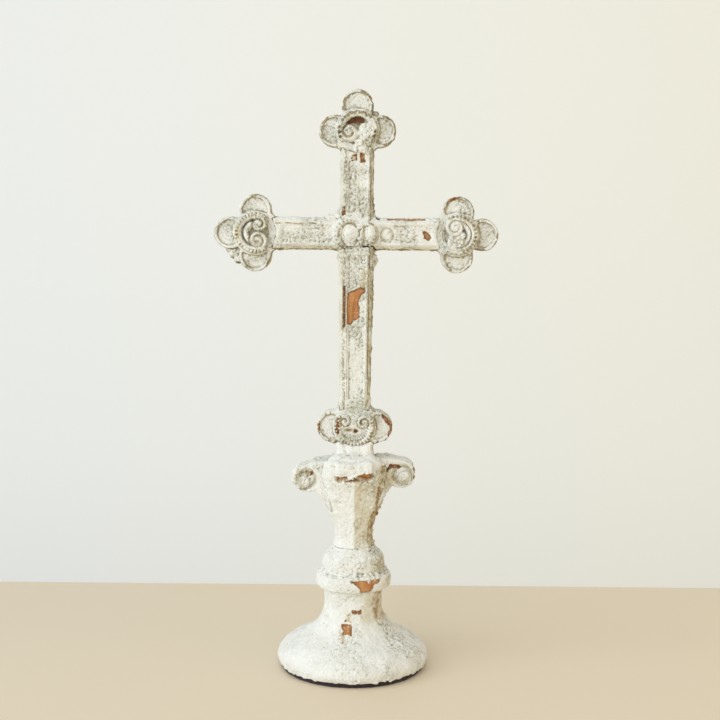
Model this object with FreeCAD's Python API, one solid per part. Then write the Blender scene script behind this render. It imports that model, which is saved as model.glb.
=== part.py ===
import FreeCAD, Part
import math
import os

os.makedirs("parts", exist_ok=True)

V = FreeCAD.Vector

# Altar cross. Millimetres, +Z up, origin at the centre of the underside, front faces -Y.

# Pad and foot
PAD_RADIUS = 49.2
PAD_THICK = 3.0
FOOT_RADIUS = 52.0
FOOT_WAIST_RADIUS = 19.6
FOOT_TOP_RADIUS = 21.3
FOOT_TOP_Z = 57.1
RECESS_RADIUS = 13.0
RECESS_TOP_Z = 14.0

# Ring and knop
RING_RADIUS = 26.1
RING_TOP_Z = 65.7
RING_DISH_Z = 63.6
KNOP_RADIUS = 21.6
KNOP_TOP_Z = 84.0

# Stem, an eight-sided trumpet. Radii are to its corners.
STEM_WAIST_RADIUS = 13.2
STEM_FLARE_RADIUS = 25.4
STEM_TOP_RADIUS = 24.2
STEM_TOP_Z = 143.5

# Capital
NECK_HALF_WIDTH = 12.2
NECK_HALF_DEPTH = 10.4
NECK_BASE_Z = 147.0
SCROLL_RADIUS = 9.4
SCROLL_X = 32.4
SCROLL_LEFT_Z = 132.6
SCROLL_RIGHT_Z = 136.4
STRAP_START_X = 16.0
STRAP_LEFT_Z = 144.3
STRAP_RIGHT_Z = 146.8
SCROLL_HALF_WIDTH = 9.0
LIP_HALF_WIDTH = 11.5
LIP_REACH = 26.0
LIP_NOSE_RADIUS = 6.0

# Cross
BAR_HALF_DEPTH = 9.0
BAR_BEVEL = 3.3
UPRIGHT_HALF_WIDTH_TOP = 11.4
UPRIGHT_HALF_WIDTH_LOW = 10.0
ARM_HALF_HEIGHT = 10.5
ARM_Z = 299.3
PANEL_DEPTH = 0.9
PANEL_FRAME = 1.1
CORNER_RADIUS = 4.0

# End plates: one round lobe on each free side of a round middle
END_HALF_DEPTH = 7.0
END_MIDDLE_RADIUS = 14.9
LOBE_RADIUS = 10.75
LOBE_SIDE_OFFSET = 15.0
LOBE_OUTER_OFFSET = 16.7
LOBE_RIM = 2.1
LOBE_DISH = 1.2
END_FILLET = 5.0
TOP_END_Z = 367.55
LOWER_END_Z = 168.3
SIDE_END_X = 68.0

# Scroll ornaments
CREST_RADIUS = 13.6
CREST_BAND = 4.3
CREST_RELIEF = 4.0
CREST_SWEEP = 250.0
BEAD_COUNT = 20
BEAD_NOTCH_RADIUS = 1.0

# Hidden fixings
ROD_RADIUS = 3.0
ROD_BOTTOM_Z = 6.0
ROD_TOP_Z = 210.0
ROD_CLEAR_RADIUS = 3.2
NUT_ACROSS_FLATS = 10.0
NUT_HEIGHT = 5.0
WASHER_RADIUS = 11.0
WASHER_THICK = 1.5
INSERT_RADIUS = 4.5
INSERT_BOTTOM_Z = 196.0
INSERT_TOP_Z = 212.0
DOWEL_RADIUS = 2.5
DOWEL_IN_PLATE = 8.0
DOWEL_IN_BAR = 12.0

FRONT = V(0, -1, 0)
REAR = V(0, 1, 0)
UP = V(0, 0, 1)
DOWN = V(0, 0, -1)
LEFT = V(-1, 0, 0)
RIGHT = V(1, 0, 0)


# Small helpers

def save(shape, name):
    shape.exportStep("parts/" + name + ".step")


def smooth(points):
    curve = Part.BSplineCurve()
    curve.interpolate(points)
    return curve.toShape()


def arc(start, middle, end):
    return Part.Arc(start, middle, end).toShape()


def face_of(edges):
    return Part.Face(Part.Wire(edges))


def spin(edges, angle=360.0):
    return face_of(edges).revolve(V(0, 0, 0), UP, angle)


def rod(radius, low_z, high_z):
    return Part.makeCylinder(radius, high_z - low_z, V(0, 0, low_z))


def lying_disc(radius, x, z, half_depth):
    return Part.makeCylinder(radius, 2 * half_depth, V(x, -half_depth, z), REAR)


def set_on(shape, place, outward, facing):
    """Turn a flat ornament drawn around the origin (outward along +X, relief along +Z)."""
    across = facing.cross(outward)
    turn = FreeCAD.Matrix(
        outward.x, across.x, facing.x, place.x,
        outward.y, across.y, facing.y, place.y,
        outward.z, across.z, facing.z, place.z,
        0, 0, 0, 1)
    turned = shape.copy()
    turned.Placement = FreeCAD.Placement(turn)
    return turned


# Pedestal

def felt_pad():
    return rod(PAD_RADIUS, 0, PAD_THICK)


def foot():
    under = V(FOOT_RADIUS - 1.8, 0, PAD_THICK)
    bulge = V(FOOT_RADIUS, 0, 8.0)
    shoulder = V(FOOT_RADIUS - 2.0, 0, 13.0)
    top = V(FOOT_TOP_RADIUS, 0, FOOT_TOP_Z)
    rim = arc(under, bulge, shoulder)
    slope = smooth([
        shoulder,
        V(44.8, 0, 18.0),
        V(37.2, 0, 21.8),
        V(29.8, 0, 26.0),
        V(24.2, 0, 31.5),
        V(20.9, 0, 38.0),
        V(FOOT_WAIST_RADIUS, 0, 45.0),
        V(20.1, 0, 52.0),
        top])
    axis_top = V(0, 0, FOOT_TOP_Z)
    axis_low = V(0, 0, PAD_THICK)
    body = spin([
        rim,
        slope,
        Part.makeLine(top, axis_top),
        Part.makeLine(axis_top, axis_low),
        Part.makeLine(axis_low, under)])
    recess = rod(RECESS_RADIUS, PAD_THICK, RECESS_TOP_Z)
    bore = rod(ROD_CLEAR_RADIUS, PAD_THICK, FOOT_TOP_Z)
    return body.cut(recess).cut(bore)


def collar_ring():
    low_in = V(ROD_CLEAR_RADIUS, 0, FOOT_TOP_Z)
    low_out = V(RING_RADIUS - 0.9, 0, FOOT_TOP_Z)
    belly = V(RING_RADIUS, 0, FOOT_TOP_Z + 4.6)
    high_out = V(RING_RADIUS - 0.7, 0, RING_TOP_Z)
    high_in = V(RING_RADIUS - 2.6, 0, RING_TOP_Z)
    dish_out = V(RING_RADIUS - 3.6, 0, RING_DISH_Z)
    dish_in = V(ROD_CLEAR_RADIUS, 0, RING_DISH_Z)
    return spin([
        Part.makeLine(low_in, low_out),
        arc(low_out, belly, high_out),
        arc(high_out, V(RING_RADIUS - 1.6, 0, RING_TOP_Z + 0.5), high_in),
        Part.makeLine(high_in, dish_out),
        Part.makeLine(dish_out, dish_in),
        Part.makeLine(dish_in, low_in)])


def knop():
    low_in = V(ROD_CLEAR_RADIUS, 0, RING_DISH_Z)
    low_out = V(18.6, 0, RING_DISH_Z)
    high_out = V(STEM_WAIST_RADIUS + 0.9, 0, KNOP_TOP_Z)
    high_in = V(ROD_CLEAR_RADIUS, 0, KNOP_TOP_Z)
    belly = smooth([
        low_out,
        V(20.9, 0, 68.0),
        V(KNOP_RADIUS, 0, 73.0),
        V(19.9, 0, 79.0),
        V(16.2, 0, 82.3),
        high_out])
    return spin([
        Part.makeLine(low_in, low_out),
        belly,
        Part.makeLine(high_out, high_in),
        Part.makeLine(high_in, low_in)])


def stem():
    to_flat = math.cos(math.radians(22.5))
    corner_line = [
        (STEM_WAIST_RADIUS, KNOP_TOP_Z),
        (STEM_WAIST_RADIUS + 0.2, 92.0),
        (14.3, 101.0),
        (16.8, 110.0),
        (19.9, 118.5),
        (22.9, 127.0),
        (STEM_FLARE_RADIUS, 136.0)]
    side = [V(radius * to_flat, 0, z) for radius, z in corner_line]
    mirrored = [V(-point.x, 0, point.z) for point in reversed(side)]
    brow = V((STEM_FLARE_RADIUS - 0.2) * to_flat, 0, 138.5)
    top = V(STEM_TOP_RADIUS * to_flat, 0, STEM_TOP_Z)
    brow_mirrored = V(-brow.x, 0, brow.z)
    top_mirrored = V(-top.x, 0, top.z)
    outline = face_of([
        smooth(side),
        Part.makeLine(side[-1], brow),
        Part.makeLine(brow, top),
        Part.makeLine(top, top_mirrored),
        Part.makeLine(top_mirrored, brow_mirrored),
        Part.makeLine(brow_mirrored, mirrored[0]),
        smooth(mirrored),
        Part.makeLine(mirrored[-1], side[0])])
    half_length = 40.0
    outline.translate(V(0, -half_length, 0))
    slab = outline.extrude(V(0, 2 * half_length, 0))
    body = None
    for step in range(4):
        turned = slab.copy()
        turned.rotate(V(0, 0, 0), UP, 22.5 + 45.0 * step)
        body = turned if body is None else body.common(turned)
    return body.cut(rod(ROD_CLEAR_RADIUS, KNOP_TOP_Z, STEM_TOP_Z))


def neck():
    top_z = LOWER_END_Z
    block = Part.makeBox(
        2 * NECK_HALF_WIDTH, 2 * NECK_HALF_DEPTH, top_z - STEM_TOP_Z,
        V(-NECK_HALF_WIDTH, -NECK_HALF_DEPTH, STEM_TOP_Z))
    upright_edges = [edge for edge in block.Edges if abs(edge.tangentAt(edge.FirstParameter).z) > 0.9]
    block = block.makeFillet(3.5, upright_edges)
    base_height = NECK_BASE_Z - STEM_TOP_Z
    base = Part.makeCone(NECK_HALF_WIDTH + 2.6, NECK_HALF_WIDTH, base_height, V(0, 0, STEM_TOP_Z))
    seat = lying_disc(END_MIDDLE_RADIUS, 0, LOWER_END_Z, 30.0)
    lobes = end_outline(2, 60.0, False)
    seat = seat.fuse(set_on(lobes, V(0, 0, LOWER_END_Z), DOWN, FRONT))
    bore = rod(ROD_CLEAR_RADIUS, STEM_TOP_Z, top_z)
    return block.fuse(base).cut(seat).cut(bore)


def volute(side, scroll_z, strap_z):
    """Capital scroll seen from the front: a strap off the stem top that rolls down and in."""
    half = SCROLL_HALF_WIDTH
    roll_top = V(SCROLL_X, -half, scroll_z + SCROLL_RADIUS)
    start_top = V(STRAP_START_X, -half, strap_z)
    crest = V(0.5 * (STRAP_START_X + SCROLL_X) + 1.0, -half, max(strap_z, roll_top.z) + 0.1)
    throat = V(SCROLL_X - 5.0, -half, scroll_z - 6.5)
    roll_low = V(SCROLL_X, -half, scroll_z - 6.5)
    start_low = V(STRAP_START_X, -half, scroll_z - 21.5)
    strap = face_of([
        smooth([start_top, crest, roll_top]),
        Part.makeLine(roll_top, roll_low),
        Part.makeLine(roll_low, throat),
        smooth([throat, V(SCROLL_X - 9.2, -half, scroll_z - 12.0), start_low]),
        Part.makeLine(start_low, start_top)]).extrude(V(0, 2 * half, 0))
    roll = lying_disc(SCROLL_RADIUS, SCROLL_X, scroll_z, half)
    hollow_x = SCROLL_X + 1.1
    hollow_z = scroll_z - 1.2
    hollow = lying_disc(SCROLL_RADIUS - 2.4, hollow_x, hollow_z, half)
    hollow = hollow.cut(lying_disc(SCROLL_RADIUS, hollow_x, hollow_z, half - 1.6))
    eye = lying_disc(4.3, SCROLL_X + 2.4, scroll_z - 2.6, half + 0.5)
    solid = strap.fuse(roll).cut(hollow).fuse(eye)
    if side is LEFT:
        solid = solid.mirror(V(0, 0, 0), RIGHT)
    return solid.cut(stem()).cut(neck()).removeSplitter()


def lip(facing):
    """Short rolled lip on the front or the rear of the capital."""
    half = LIP_HALF_WIDTH
    nose_y = LIP_REACH - LIP_NOSE_RADIUS
    nose_z = NECK_BASE_Z - LIP_NOSE_RADIUS
    back_y = NECK_HALF_DEPTH - 2.0
    top_back = V(-half, back_y, NECK_BASE_Z)
    top_nose = V(-half, nose_y, NECK_BASE_Z)
    front_nose = V(-half, LIP_REACH, nose_z)
    under_nose = V(-half, nose_y, nose_z - LIP_NOSE_RADIUS)
    low_back = V(-half, back_y, nose_z - LIP_NOSE_RADIUS)
    solid = face_of([
        Part.makeLine(top_back, top_nose),
        arc(top_nose, V(-half, nose_y + 4.24, nose_z + 4.24), front_nose),
        arc(front_nose, V(-half, nose_y + 4.24, nose_z - 4.24), under_nose),
        Part.makeLine(under_nose, low_back),
        Part.makeLine(low_back, top_back)]).extrude(V(2 * half, 0, 0))
    if facing is FRONT:
        solid = solid.mirror(V(0, 0, 0), REAR)
    return solid.cut(stem()).cut(neck())


# Cross

def bar_section(half_width, half_depth, bevel, z):
    inner = half_width - bevel
    corners = [
        V(inner, -half_depth, z),
        V(half_width, -half_depth + bevel, z),
        V(half_width, half_depth - bevel, z),
        V(inner, half_depth, z),
        V(-inner, half_depth, z),
        V(-half_width, half_depth - bevel, z),
        V(-half_width, -half_depth + bevel, z),
        V(-inner, -half_depth, z)]
    return Part.makePolygon(corners + [corners[0]])


def upright_half_width(z):
    share = (z - LOWER_END_Z) / (TOP_END_Z - LOWER_END_Z)
    return UPRIGHT_HALF_WIDTH_LOW + share * (UPRIGHT_HALF_WIDTH_TOP - UPRIGHT_HALF_WIDTH_LOW)


def panel_cut(low, high, half_width_low, half_width_high):
    """Sunk panels on the front and the rear of a bar standing along Z."""
    cut = None
    for y in (-BAR_HALF_DEPTH, BAR_HALF_DEPTH):
        sections = []
        for z, half_width in ((low, half_width_low), (high, half_width_high)):
            half = half_width - BAR_BEVEL - PANEL_FRAME
            corners = [
                V(-half, y - PANEL_DEPTH, z),
                V(half, y - PANEL_DEPTH, z),
                V(half, y + PANEL_DEPTH, z),
                V(-half, y + PANEL_DEPTH, z)]
            sections.append(Part.makePolygon(corners + [corners[0]]))
        panel = Part.makeLoft(sections, True, True)
        cut = panel if cut is None else cut.fuse(panel)
    return cut


def whole_upright():
    low = bar_section(upright_half_width(LOWER_END_Z), BAR_HALF_DEPTH, BAR_BEVEL, LOWER_END_Z)
    high = bar_section(upright_half_width(TOP_END_Z), BAR_HALF_DEPTH, BAR_BEVEL, TOP_END_Z)
    bar = Part.makeLoft([low, high], True, True)
    gap = ARM_HALF_HEIGHT + 3.5
    spans = [
        (LOWER_END_Z + END_MIDDLE_RADIUS + 4.0, ARM_Z - gap),
        (ARM_Z + gap, TOP_END_Z - END_MIDDLE_RADIUS - 4.0)]
    for low_z, high_z in spans:
        bar = bar.cut(panel_cut(low_z, high_z, upright_half_width(low_z), upright_half_width(high_z)))
    return bar


def whole_crossbar():
    reach = SIDE_END_X
    low = bar_section(ARM_HALF_HEIGHT, BAR_HALF_DEPTH, BAR_BEVEL, -reach)
    high = bar_section(ARM_HALF_HEIGHT, BAR_HALF_DEPTH, BAR_BEVEL, reach)
    bar = Part.makeLoft([low, high], True, True)
    inner = UPRIGHT_HALF_WIDTH_TOP + 4.0
    outer = SIDE_END_X - END_MIDDLE_RADIUS - 3.0
    for low_x, high_x in ((-outer, -inner), (inner, outer)):
        bar = bar.cut(panel_cut(low_x, high_x, ARM_HALF_HEIGHT, ARM_HALF_HEIGHT))
    bar.rotate(V(0, 0, 0), REAR, 90.0)
    bar.translate(V(0, 0, ARM_Z))
    return bar.fuse(inside_corners())


def inside_corners():
    """Four curved corner pieces where the arms leave the upright."""
    pieces = None
    half_depth = BAR_HALF_DEPTH - BAR_BEVEL
    for side in (-1, 1):
        for level in (-1, 1):
            half_width = upright_half_width(ARM_Z + level * ARM_HALF_HEIGHT)
            corner_x = half_width + CORNER_RADIUS
            corner_z = ARM_HALF_HEIGHT + CORNER_RADIUS
            low_x = half_width - 1.0
            low_z = ARM_HALF_HEIGHT - 1.0
            block = Part.makeBox(
                corner_x - low_x, 2 * half_depth, corner_z - low_z,
                V(low_x, -half_depth, low_z))
            block = block.cut(lying_disc(CORNER_RADIUS, corner_x, corner_z, 2 * half_depth))
            if side < 0:
                block = block.mirror(V(0, 0, 0), RIGHT)
            if level < 0:
                block = block.mirror(V(0, 0, 0), UP)
            block.translate(V(0, 0, ARM_Z))
            pieces = block if pieces is None else pieces.fuse(block)
    return pieces


def ends():
    """Where each end plate goes: name, centre, outward direction, number of lobes."""
    return [
        ("top", V(0, 0, TOP_END_Z), UP, 3),
        ("left", V(-SIDE_END_X, 0, ARM_Z), LEFT, 3),
        ("right", V(SIDE_END_X, 0, ARM_Z), RIGHT, 3),
        ("lower", V(0, 0, LOWER_END_Z), DOWN, 2)]


def lobe_centres(lobes):
    centres = [V(0, LOBE_SIDE_OFFSET, 0), V(0, -LOBE_SIDE_OFFSET, 0)]
    if lobes == 3:
        centres.append(V(LOBE_OUTER_OFFSET, 0, 0))
    return centres


def end_outline(lobes, depth, corners=True):
    """An end plate without its dishes, drawn flat, centred on its own thickness."""
    base = V(0, 0, -depth / 2)
    plate = Part.makeCylinder(END_MIDDLE_RADIUS, depth, base)
    for centre in lobe_centres(lobes):
        plate = plate.fuse(Part.makeCylinder(LOBE_RADIUS, depth, centre + base))
    if corners:
        near = ARM_HALF_HEIGHT
        far = ARM_HALF_HEIGHT + END_FILLET
        for side in (-1, 1):
            low = near if side > 0 else -far
            block = Part.makeBox(far - 6.0, far - near, depth, V(-far, low, -depth / 2))
            scoop = Part.makeCylinder(END_FILLET, depth, V(-far, side * far, -depth / 2))
            plate = plate.fuse(block.cut(scoop))
    return plate.removeSplitter()


def end_plate(centre, outward, lobes):
    plate = end_outline(lobes, 2 * END_HALF_DEPTH)
    dish_radius = LOBE_RADIUS - LOBE_RIM
    for lobe in lobe_centres(lobes):
        for low in (END_HALF_DEPTH - LOBE_DISH, -END_HALF_DEPTH - LOBE_DISH):
            dish = Part.makeCylinder(dish_radius, 2 * LOBE_DISH, lobe + V(0, 0, low))
            plate = plate.cut(dish)
    middle = Part.makeCylinder(END_MIDDLE_RADIUS, 2 * END_HALF_DEPTH, V(0, 0, -END_HALF_DEPTH))
    plate = plate.fuse(middle).removeSplitter()
    plate = set_on(plate, centre, outward, FRONT)
    if lobes == 2:
        return plate.cut(rod(ROD_CLEAR_RADIUS, centre.z - 20.0, centre.z + 20.0))
    return plate.cut(dowel_bore(centre, outward))


def end_seats():
    """Everything the end plates take away from the bars."""
    seats = None
    for name, centre, outward, lobes in ends():
        seat = set_on(end_outline(lobes, 60.0), centre, outward, FRONT)
        seats = seat if seats is None else seats.fuse(seat)
    return seats


def dowel(centre, outward):
    start = centre - outward * (END_MIDDLE_RADIUS + DOWEL_IN_BAR)
    return Part.makeCylinder(DOWEL_RADIUS, DOWEL_IN_BAR + DOWEL_IN_PLATE, start, outward)


def dowel_bore(centre, outward):
    start = centre - outward * (END_MIDDLE_RADIUS + DOWEL_IN_BAR + 0.5)
    return Part.makeCylinder(DOWEL_RADIUS + 0.05, DOWEL_IN_BAR + DOWEL_IN_PLATE + 1.0, start, outward)


def cross_bars():
    """The half-lapped pair: the upright keeps the front half at the crossing."""
    seats = end_seats()
    upright = whole_upright().cut(seats)
    crossbar = whole_crossbar().cut(seats)
    front_side = Part.makeBox(200, 100, 500, V(-100, -100, 0))
    crossbar = crossbar.cut(upright.common(front_side))
    upright = upright.cut(crossbar)
    for name, centre, outward, lobes in ends():
        if name in ("left", "right"):
            crossbar = crossbar.cut(dowel_bore(centre, outward))
        if name == "top":
            upright = upright.cut(dowel_bore(centre, outward))
    upright = upright.cut(rod(INSERT_RADIUS + 0.1, LOWER_END_Z, INSERT_TOP_Z + 1.0))
    return upright, crossbar


# Ornaments

def curl(x, y, radius, height):
    """A rolled-up scroll end: a button with a ring groove and a bead in the middle."""
    crown = height + 0.5
    groove = 0.62 * radius
    button = spin([
        Part.makeLine(V(0, 0, 0), V(radius, 0, 0)),
        Part.makeLine(V(radius, 0, 0), V(radius, 0, height - 1.0)),
        arc(V(radius, 0, height - 1.0), V(radius - 0.4, 0, height - 0.3), V(radius - 1.1, 0, height)),
        Part.makeLine(V(radius - 1.1, 0, height), V(0, 0, crown)),
        Part.makeLine(V(0, 0, crown), V(0, 0, 0))])
    button = button.cut(Part.makeTorus(groove, 0.65, V(0, 0, height + 0.2)))
    button.translate(V(x, y, 0))
    return button


def scroll_band(radius, width, relief, sweep):
    """Half-round band around part of a circle, open towards -X."""
    inner = radius - width
    section = [
        Part.makeLine(V(inner, 0, 0), V(radius, 0, 0)),
        Part.makeLine(V(radius, 0, 0), V(radius, 0, relief - 1.9)),
        arc(V(radius, 0, relief - 1.9), V(radius - 0.45 * width, 0, relief), V(inner, 0, relief - 1.6)),
        Part.makeLine(V(inner, 0, relief - 1.6), V(inner, 0, 0))]
    band = spin(section, sweep)
    band.rotate(V(0, 0, 0), UP, -sweep / 2)
    return band


def notched(band, radius, sweep, count):
    """Cut the row of beads into the outer edge of a band."""
    notches = []
    for number in range(count):
        angle = math.radians(-sweep / 2 + sweep * (number + 0.5) / count)
        place = V((radius + 0.25) * math.cos(angle), (radius + 0.25) * math.sin(angle), 0.8)
        notches.append(Part.makeCylinder(BEAD_NOTCH_RADIUS, 6.0, place))
    return band.cut(Part.makeCompound(notches))


def crest(big_curl, small_curl):
    band = scroll_band(CREST_RADIUS, CREST_BAND, CREST_RELIEF, CREST_SWEEP)
    band = notched(band, CREST_RADIUS, CREST_SWEEP, BEAD_COUNT)
    solid = band.fuse(curl(*big_curl)).fuse(curl(*small_curl))
    return solid.removeSplitter()


def boss():
    """Double scroll over the crossing, the larger curl to the left of someone facing it."""
    large_x = 5.1
    small_x = -7.2
    plate = Part.makeCylinder(9.3, 1.6, V(large_x, 0, 0))
    plate = plate.fuse(Part.makeCylinder(7.5, 1.6, V(small_x, 0, 0)))
    large_band = scroll_band(9.3, 2.0, 3.2, 230.0)
    large_band = notched(large_band, 9.3, 230.0, 12)
    large_band.translate(V(large_x, 0, 0))
    small_band = scroll_band(7.5, 1.8, 2.9, 200.0)
    small_band.rotate(V(0, 0, 0), UP, 180.0)
    small_band.translate(V(small_x, 0, 0))
    solid = plate.fuse(large_band).fuse(small_band)
    solid = solid.fuse(curl(large_x - 0.4, 0, 6.2, 3.2)).fuse(curl(small_x + 0.4, 0, 4.6, 3.0))
    return solid.removeSplitter()


# Hidden fixings

def tie_rod():
    return rod(ROD_RADIUS, ROD_BOTTOM_Z, ROD_TOP_Z)


def washer():
    low = RECESS_TOP_Z - WASHER_THICK
    return rod(WASHER_RADIUS, low, RECESS_TOP_Z).cut(rod(ROD_RADIUS + 0.05, low, RECESS_TOP_Z))


def nut():
    high = RECESS_TOP_Z - WASHER_THICK
    low = high - NUT_HEIGHT
    corner = NUT_ACROSS_FLATS / math.sqrt(3)
    corners = []
    for step in range(7):
        angle = math.radians(60.0 * step)
        corners.append(V(corner * math.cos(angle), corner * math.sin(angle), low))
    body = Part.Face(Part.makePolygon(corners)).extrude(V(0, 0, NUT_HEIGHT))
    return body.cut(rod(ROD_RADIUS + 0.02, low, high))


def insert():
    body = rod(INSERT_RADIUS, INSERT_BOTTOM_Z, INSERT_TOP_Z)
    return body.cut(rod(ROD_RADIUS + 0.02, INSERT_BOTTOM_Z, INSERT_TOP_Z))


# Export

save(felt_pad(), "felt_pad")
save(foot(), "foot")
save(collar_ring(), "collar_ring")
save(knop(), "knop")
save(stem(), "stem")
save(neck(), "neck")
save(volute(LEFT, SCROLL_LEFT_Z, STRAP_LEFT_Z), "volute_left")
save(volute(RIGHT, SCROLL_RIGHT_Z, STRAP_RIGHT_Z), "volute_right")
save(lip(FRONT), "lip_front")
save(lip(REAR), "lip_rear")

upright, crossbar = cross_bars()
save(upright, "upright")
save(crossbar, "crossbar")

arm_crest = crest((-1.9, 4.8, 5.4, 3.6), (-2.8, -5.8, 4.2, 3.6))
lower_crest = crest((-3.4, 6.2, 4.4, 3.6), (-4.2, -6.6, 3.7, 3.6))
# A low bridge joins the two smaller curls of the lower crest.
lower_crest = lower_crest.fuse(Part.makeBox(3.6, 10.0, 2.4, V(-5.4, -5.0, 0)))

for name, centre, outward, lobes in ends():
    save(end_plate(centre, outward, lobes), name + "_end")
    ornament = lower_crest if name == "lower" else arm_crest
    save(set_on(ornament, centre + FRONT * END_HALF_DEPTH, outward, FRONT), "crest_" + name + "_front")
    save(set_on(ornament, centre + REAR * END_HALF_DEPTH, outward, REAR), "crest_" + name + "_rear")
    if lobes == 3:
        save(dowel(centre, outward), "dowel_" + name)

centre_boss = boss()
save(set_on(centre_boss, V(0, -BAR_HALF_DEPTH, ARM_Z), LEFT, FRONT), "boss_front")
save(set_on(centre_boss, V(0, BAR_HALF_DEPTH, ARM_Z), RIGHT, REAR), "boss_rear")

save(tie_rod(), "tie_rod")
save(washer(), "washer")
save(nut(), "nut")
save(insert(), "insert")
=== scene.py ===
import math
import random
from itertools import product
from types import SimpleNamespace

import bmesh
import bpy
import numpy as np
from mathutils import Matrix, Vector
from mathutils.bvhtree import BVHTree


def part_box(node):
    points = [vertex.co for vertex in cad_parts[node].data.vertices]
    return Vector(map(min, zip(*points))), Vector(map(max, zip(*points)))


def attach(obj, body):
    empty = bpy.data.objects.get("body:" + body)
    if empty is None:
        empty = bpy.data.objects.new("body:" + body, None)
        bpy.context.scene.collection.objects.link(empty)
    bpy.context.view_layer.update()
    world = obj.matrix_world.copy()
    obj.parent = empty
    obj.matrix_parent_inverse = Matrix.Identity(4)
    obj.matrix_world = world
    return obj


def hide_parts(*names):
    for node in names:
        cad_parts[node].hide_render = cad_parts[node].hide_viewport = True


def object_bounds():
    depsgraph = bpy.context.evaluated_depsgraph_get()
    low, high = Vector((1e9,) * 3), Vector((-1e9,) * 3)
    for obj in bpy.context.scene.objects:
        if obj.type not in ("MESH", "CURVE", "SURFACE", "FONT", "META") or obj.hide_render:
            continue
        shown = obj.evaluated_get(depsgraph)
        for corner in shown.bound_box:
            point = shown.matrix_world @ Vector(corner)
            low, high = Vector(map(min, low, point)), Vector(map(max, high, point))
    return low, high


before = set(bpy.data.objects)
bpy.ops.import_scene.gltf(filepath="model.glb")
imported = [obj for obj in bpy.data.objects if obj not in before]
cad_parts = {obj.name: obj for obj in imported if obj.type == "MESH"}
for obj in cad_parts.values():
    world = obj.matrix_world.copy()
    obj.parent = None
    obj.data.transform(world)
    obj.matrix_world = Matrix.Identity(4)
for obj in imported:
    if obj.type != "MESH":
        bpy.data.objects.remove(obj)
cad_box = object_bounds()

MM = 0.001


# Repeatable noise on numpy points. Points and sizes are in millimetres.

def hashed(ix, iy, iz, seed):
    """A repeatable number from 0 to 1 for each whole-number cell."""
    n = (ix.astype(np.int64) * 374761393 + iy.astype(np.int64) * 668265263
         + iz.astype(np.int64) * 2147483647 + seed * 1442695041) & 0xFFFFFFFF
    n = ((n ^ (n >> 13)) * 1274126177) & 0xFFFFFFFF
    n = ((n ^ (n >> 15)) * 2246822519) & 0xFFFFFFFF
    return ((n ^ (n >> 16)) & 0xFFFFFF) / float(0x1000000)


def noise(points, size, seed):
    """Smooth gradient noise, about -1 to 1, with features of the given size."""
    turn = Matrix.Rotation(0.7 + seed, 3, Vector((0.3, 0.8, 0.5)))
    p = points @ np.array(turn).T / size + 37.0 * seed
    cell = np.floor(p)
    f = p - cell
    w = f * f * f * (f * (f * 6 - 15) + 10)
    total = np.zeros(len(p))
    for dx, dy, dz in product((0, 1), repeat=3):
        cx, cy, cz = cell[:, 0] + dx, cell[:, 1] + dy, cell[:, 2] + dz
        a = hashed(cx, cy, cz, seed * 2 + 1) * 2 * math.pi
        b = hashed(cx, cy, cz, seed * 2 + 2) * 2 - 1
        flat = np.sqrt(1 - b * b)
        dot = np.cos(a) * flat * (f[:, 0] - dx) + np.sin(a) * flat * (f[:, 1] - dy) + b * (f[:, 2] - dz)
        share = (np.where(dx, w[:, 0], 1 - w[:, 0]) * np.where(dy, w[:, 1], 1 - w[:, 1])
                 * np.where(dz, w[:, 2], 1 - w[:, 2]))
        total += dot * share
    return total * 1.6


def layered(points, size, seed, layers):
    """Noise with finer and weaker layers on top."""
    total = np.zeros(len(points))
    for k in range(layers):
        total += noise(points, size / 2 ** k, seed + 11 * k) * 0.5 ** k
    return total


def spots(points, size, seed, share, radius):
    """Round soft spots, 1 in the middle to 0 at the radius, in a share of the cells of a grid."""
    turn = Matrix.Rotation(1.1 + seed, 3, Vector((0.6, 0.2, 0.7)))
    p = points @ np.array(turn).T / size + 17.0 * seed
    cell = np.floor(p - 0.5)
    best = np.zeros(len(p))
    for corner in product((0, 1), repeat=3):
        c = cell + corner
        drawn = [hashed(*c.T, seed + k) for k in range(1, 6)]
        places = np.stack([0.3 + 0.4 * one for one in drawn[:3]], 1)
        wide = radius / size * (0.6 + 0.4 * drawn[4])
        away = np.sqrt(((p - c - places) ** 2).sum(1)) / wide
        best = np.maximum(best, np.where(drawn[3] < share, np.clip(1 - away * away, 0, 1), 0))
    return best


def step(low, high, values):
    """0 at low and 1 at high, with a smooth rise between; low may be the larger."""
    t = np.clip((values - low) / (high - low), 0, 1)
    return t * t * (3 - 2 * t)


def from_line(x, z, start, end):
    """Distance of each point to the straight line between two places."""
    (x0, z0), (x1, z1) = start, end
    dx, dz = x1 - x0, z1 - z0
    t = np.clip(((x - x0) * dx + (z - z0) * dz) / (dx * dx + dz * dz), 0, 1)
    return np.hypot(x - x0 - t * dx, z - z0 - t * dz)


def inside_outline(x, z, outline):
    """Signed distance in millimetres to a closed outline, positive inside."""
    near = np.full(len(x), 1e9)
    inside = np.zeros(len(x), bool)
    for (x0, z0), (x1, z1) in zip(outline, outline[1:] + outline[:1]):
        near = np.minimum(near, from_line(x, z, (x0, z0), (x1, z1)))
        crosses = (z0 > z) != (z1 > z)
        inside ^= crosses & (x < x0 + (z - z0) * (x1 - x0) / ((z1 - z0) or 1e-9))
    return np.where(inside, near, -near)


# The nodes' boxes, kept once they have been asked for.

BOXES = {}


def node_box(name):
    """Low and high corner of a node's box, in millimetres."""
    if name not in BOXES:
        low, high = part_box(name)
        BOXES[name] = (np.array(low) / MM, np.array(high) / MM)
    return BOXES[name]


# Chips that bare the wood. Each is the share of clean wood in it (the rest is thin brown paint), how
# ragged its edge is, and its outline seen from the front, in millimetres from the middle of the
# node's box along X and from its low end along Z.

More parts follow.
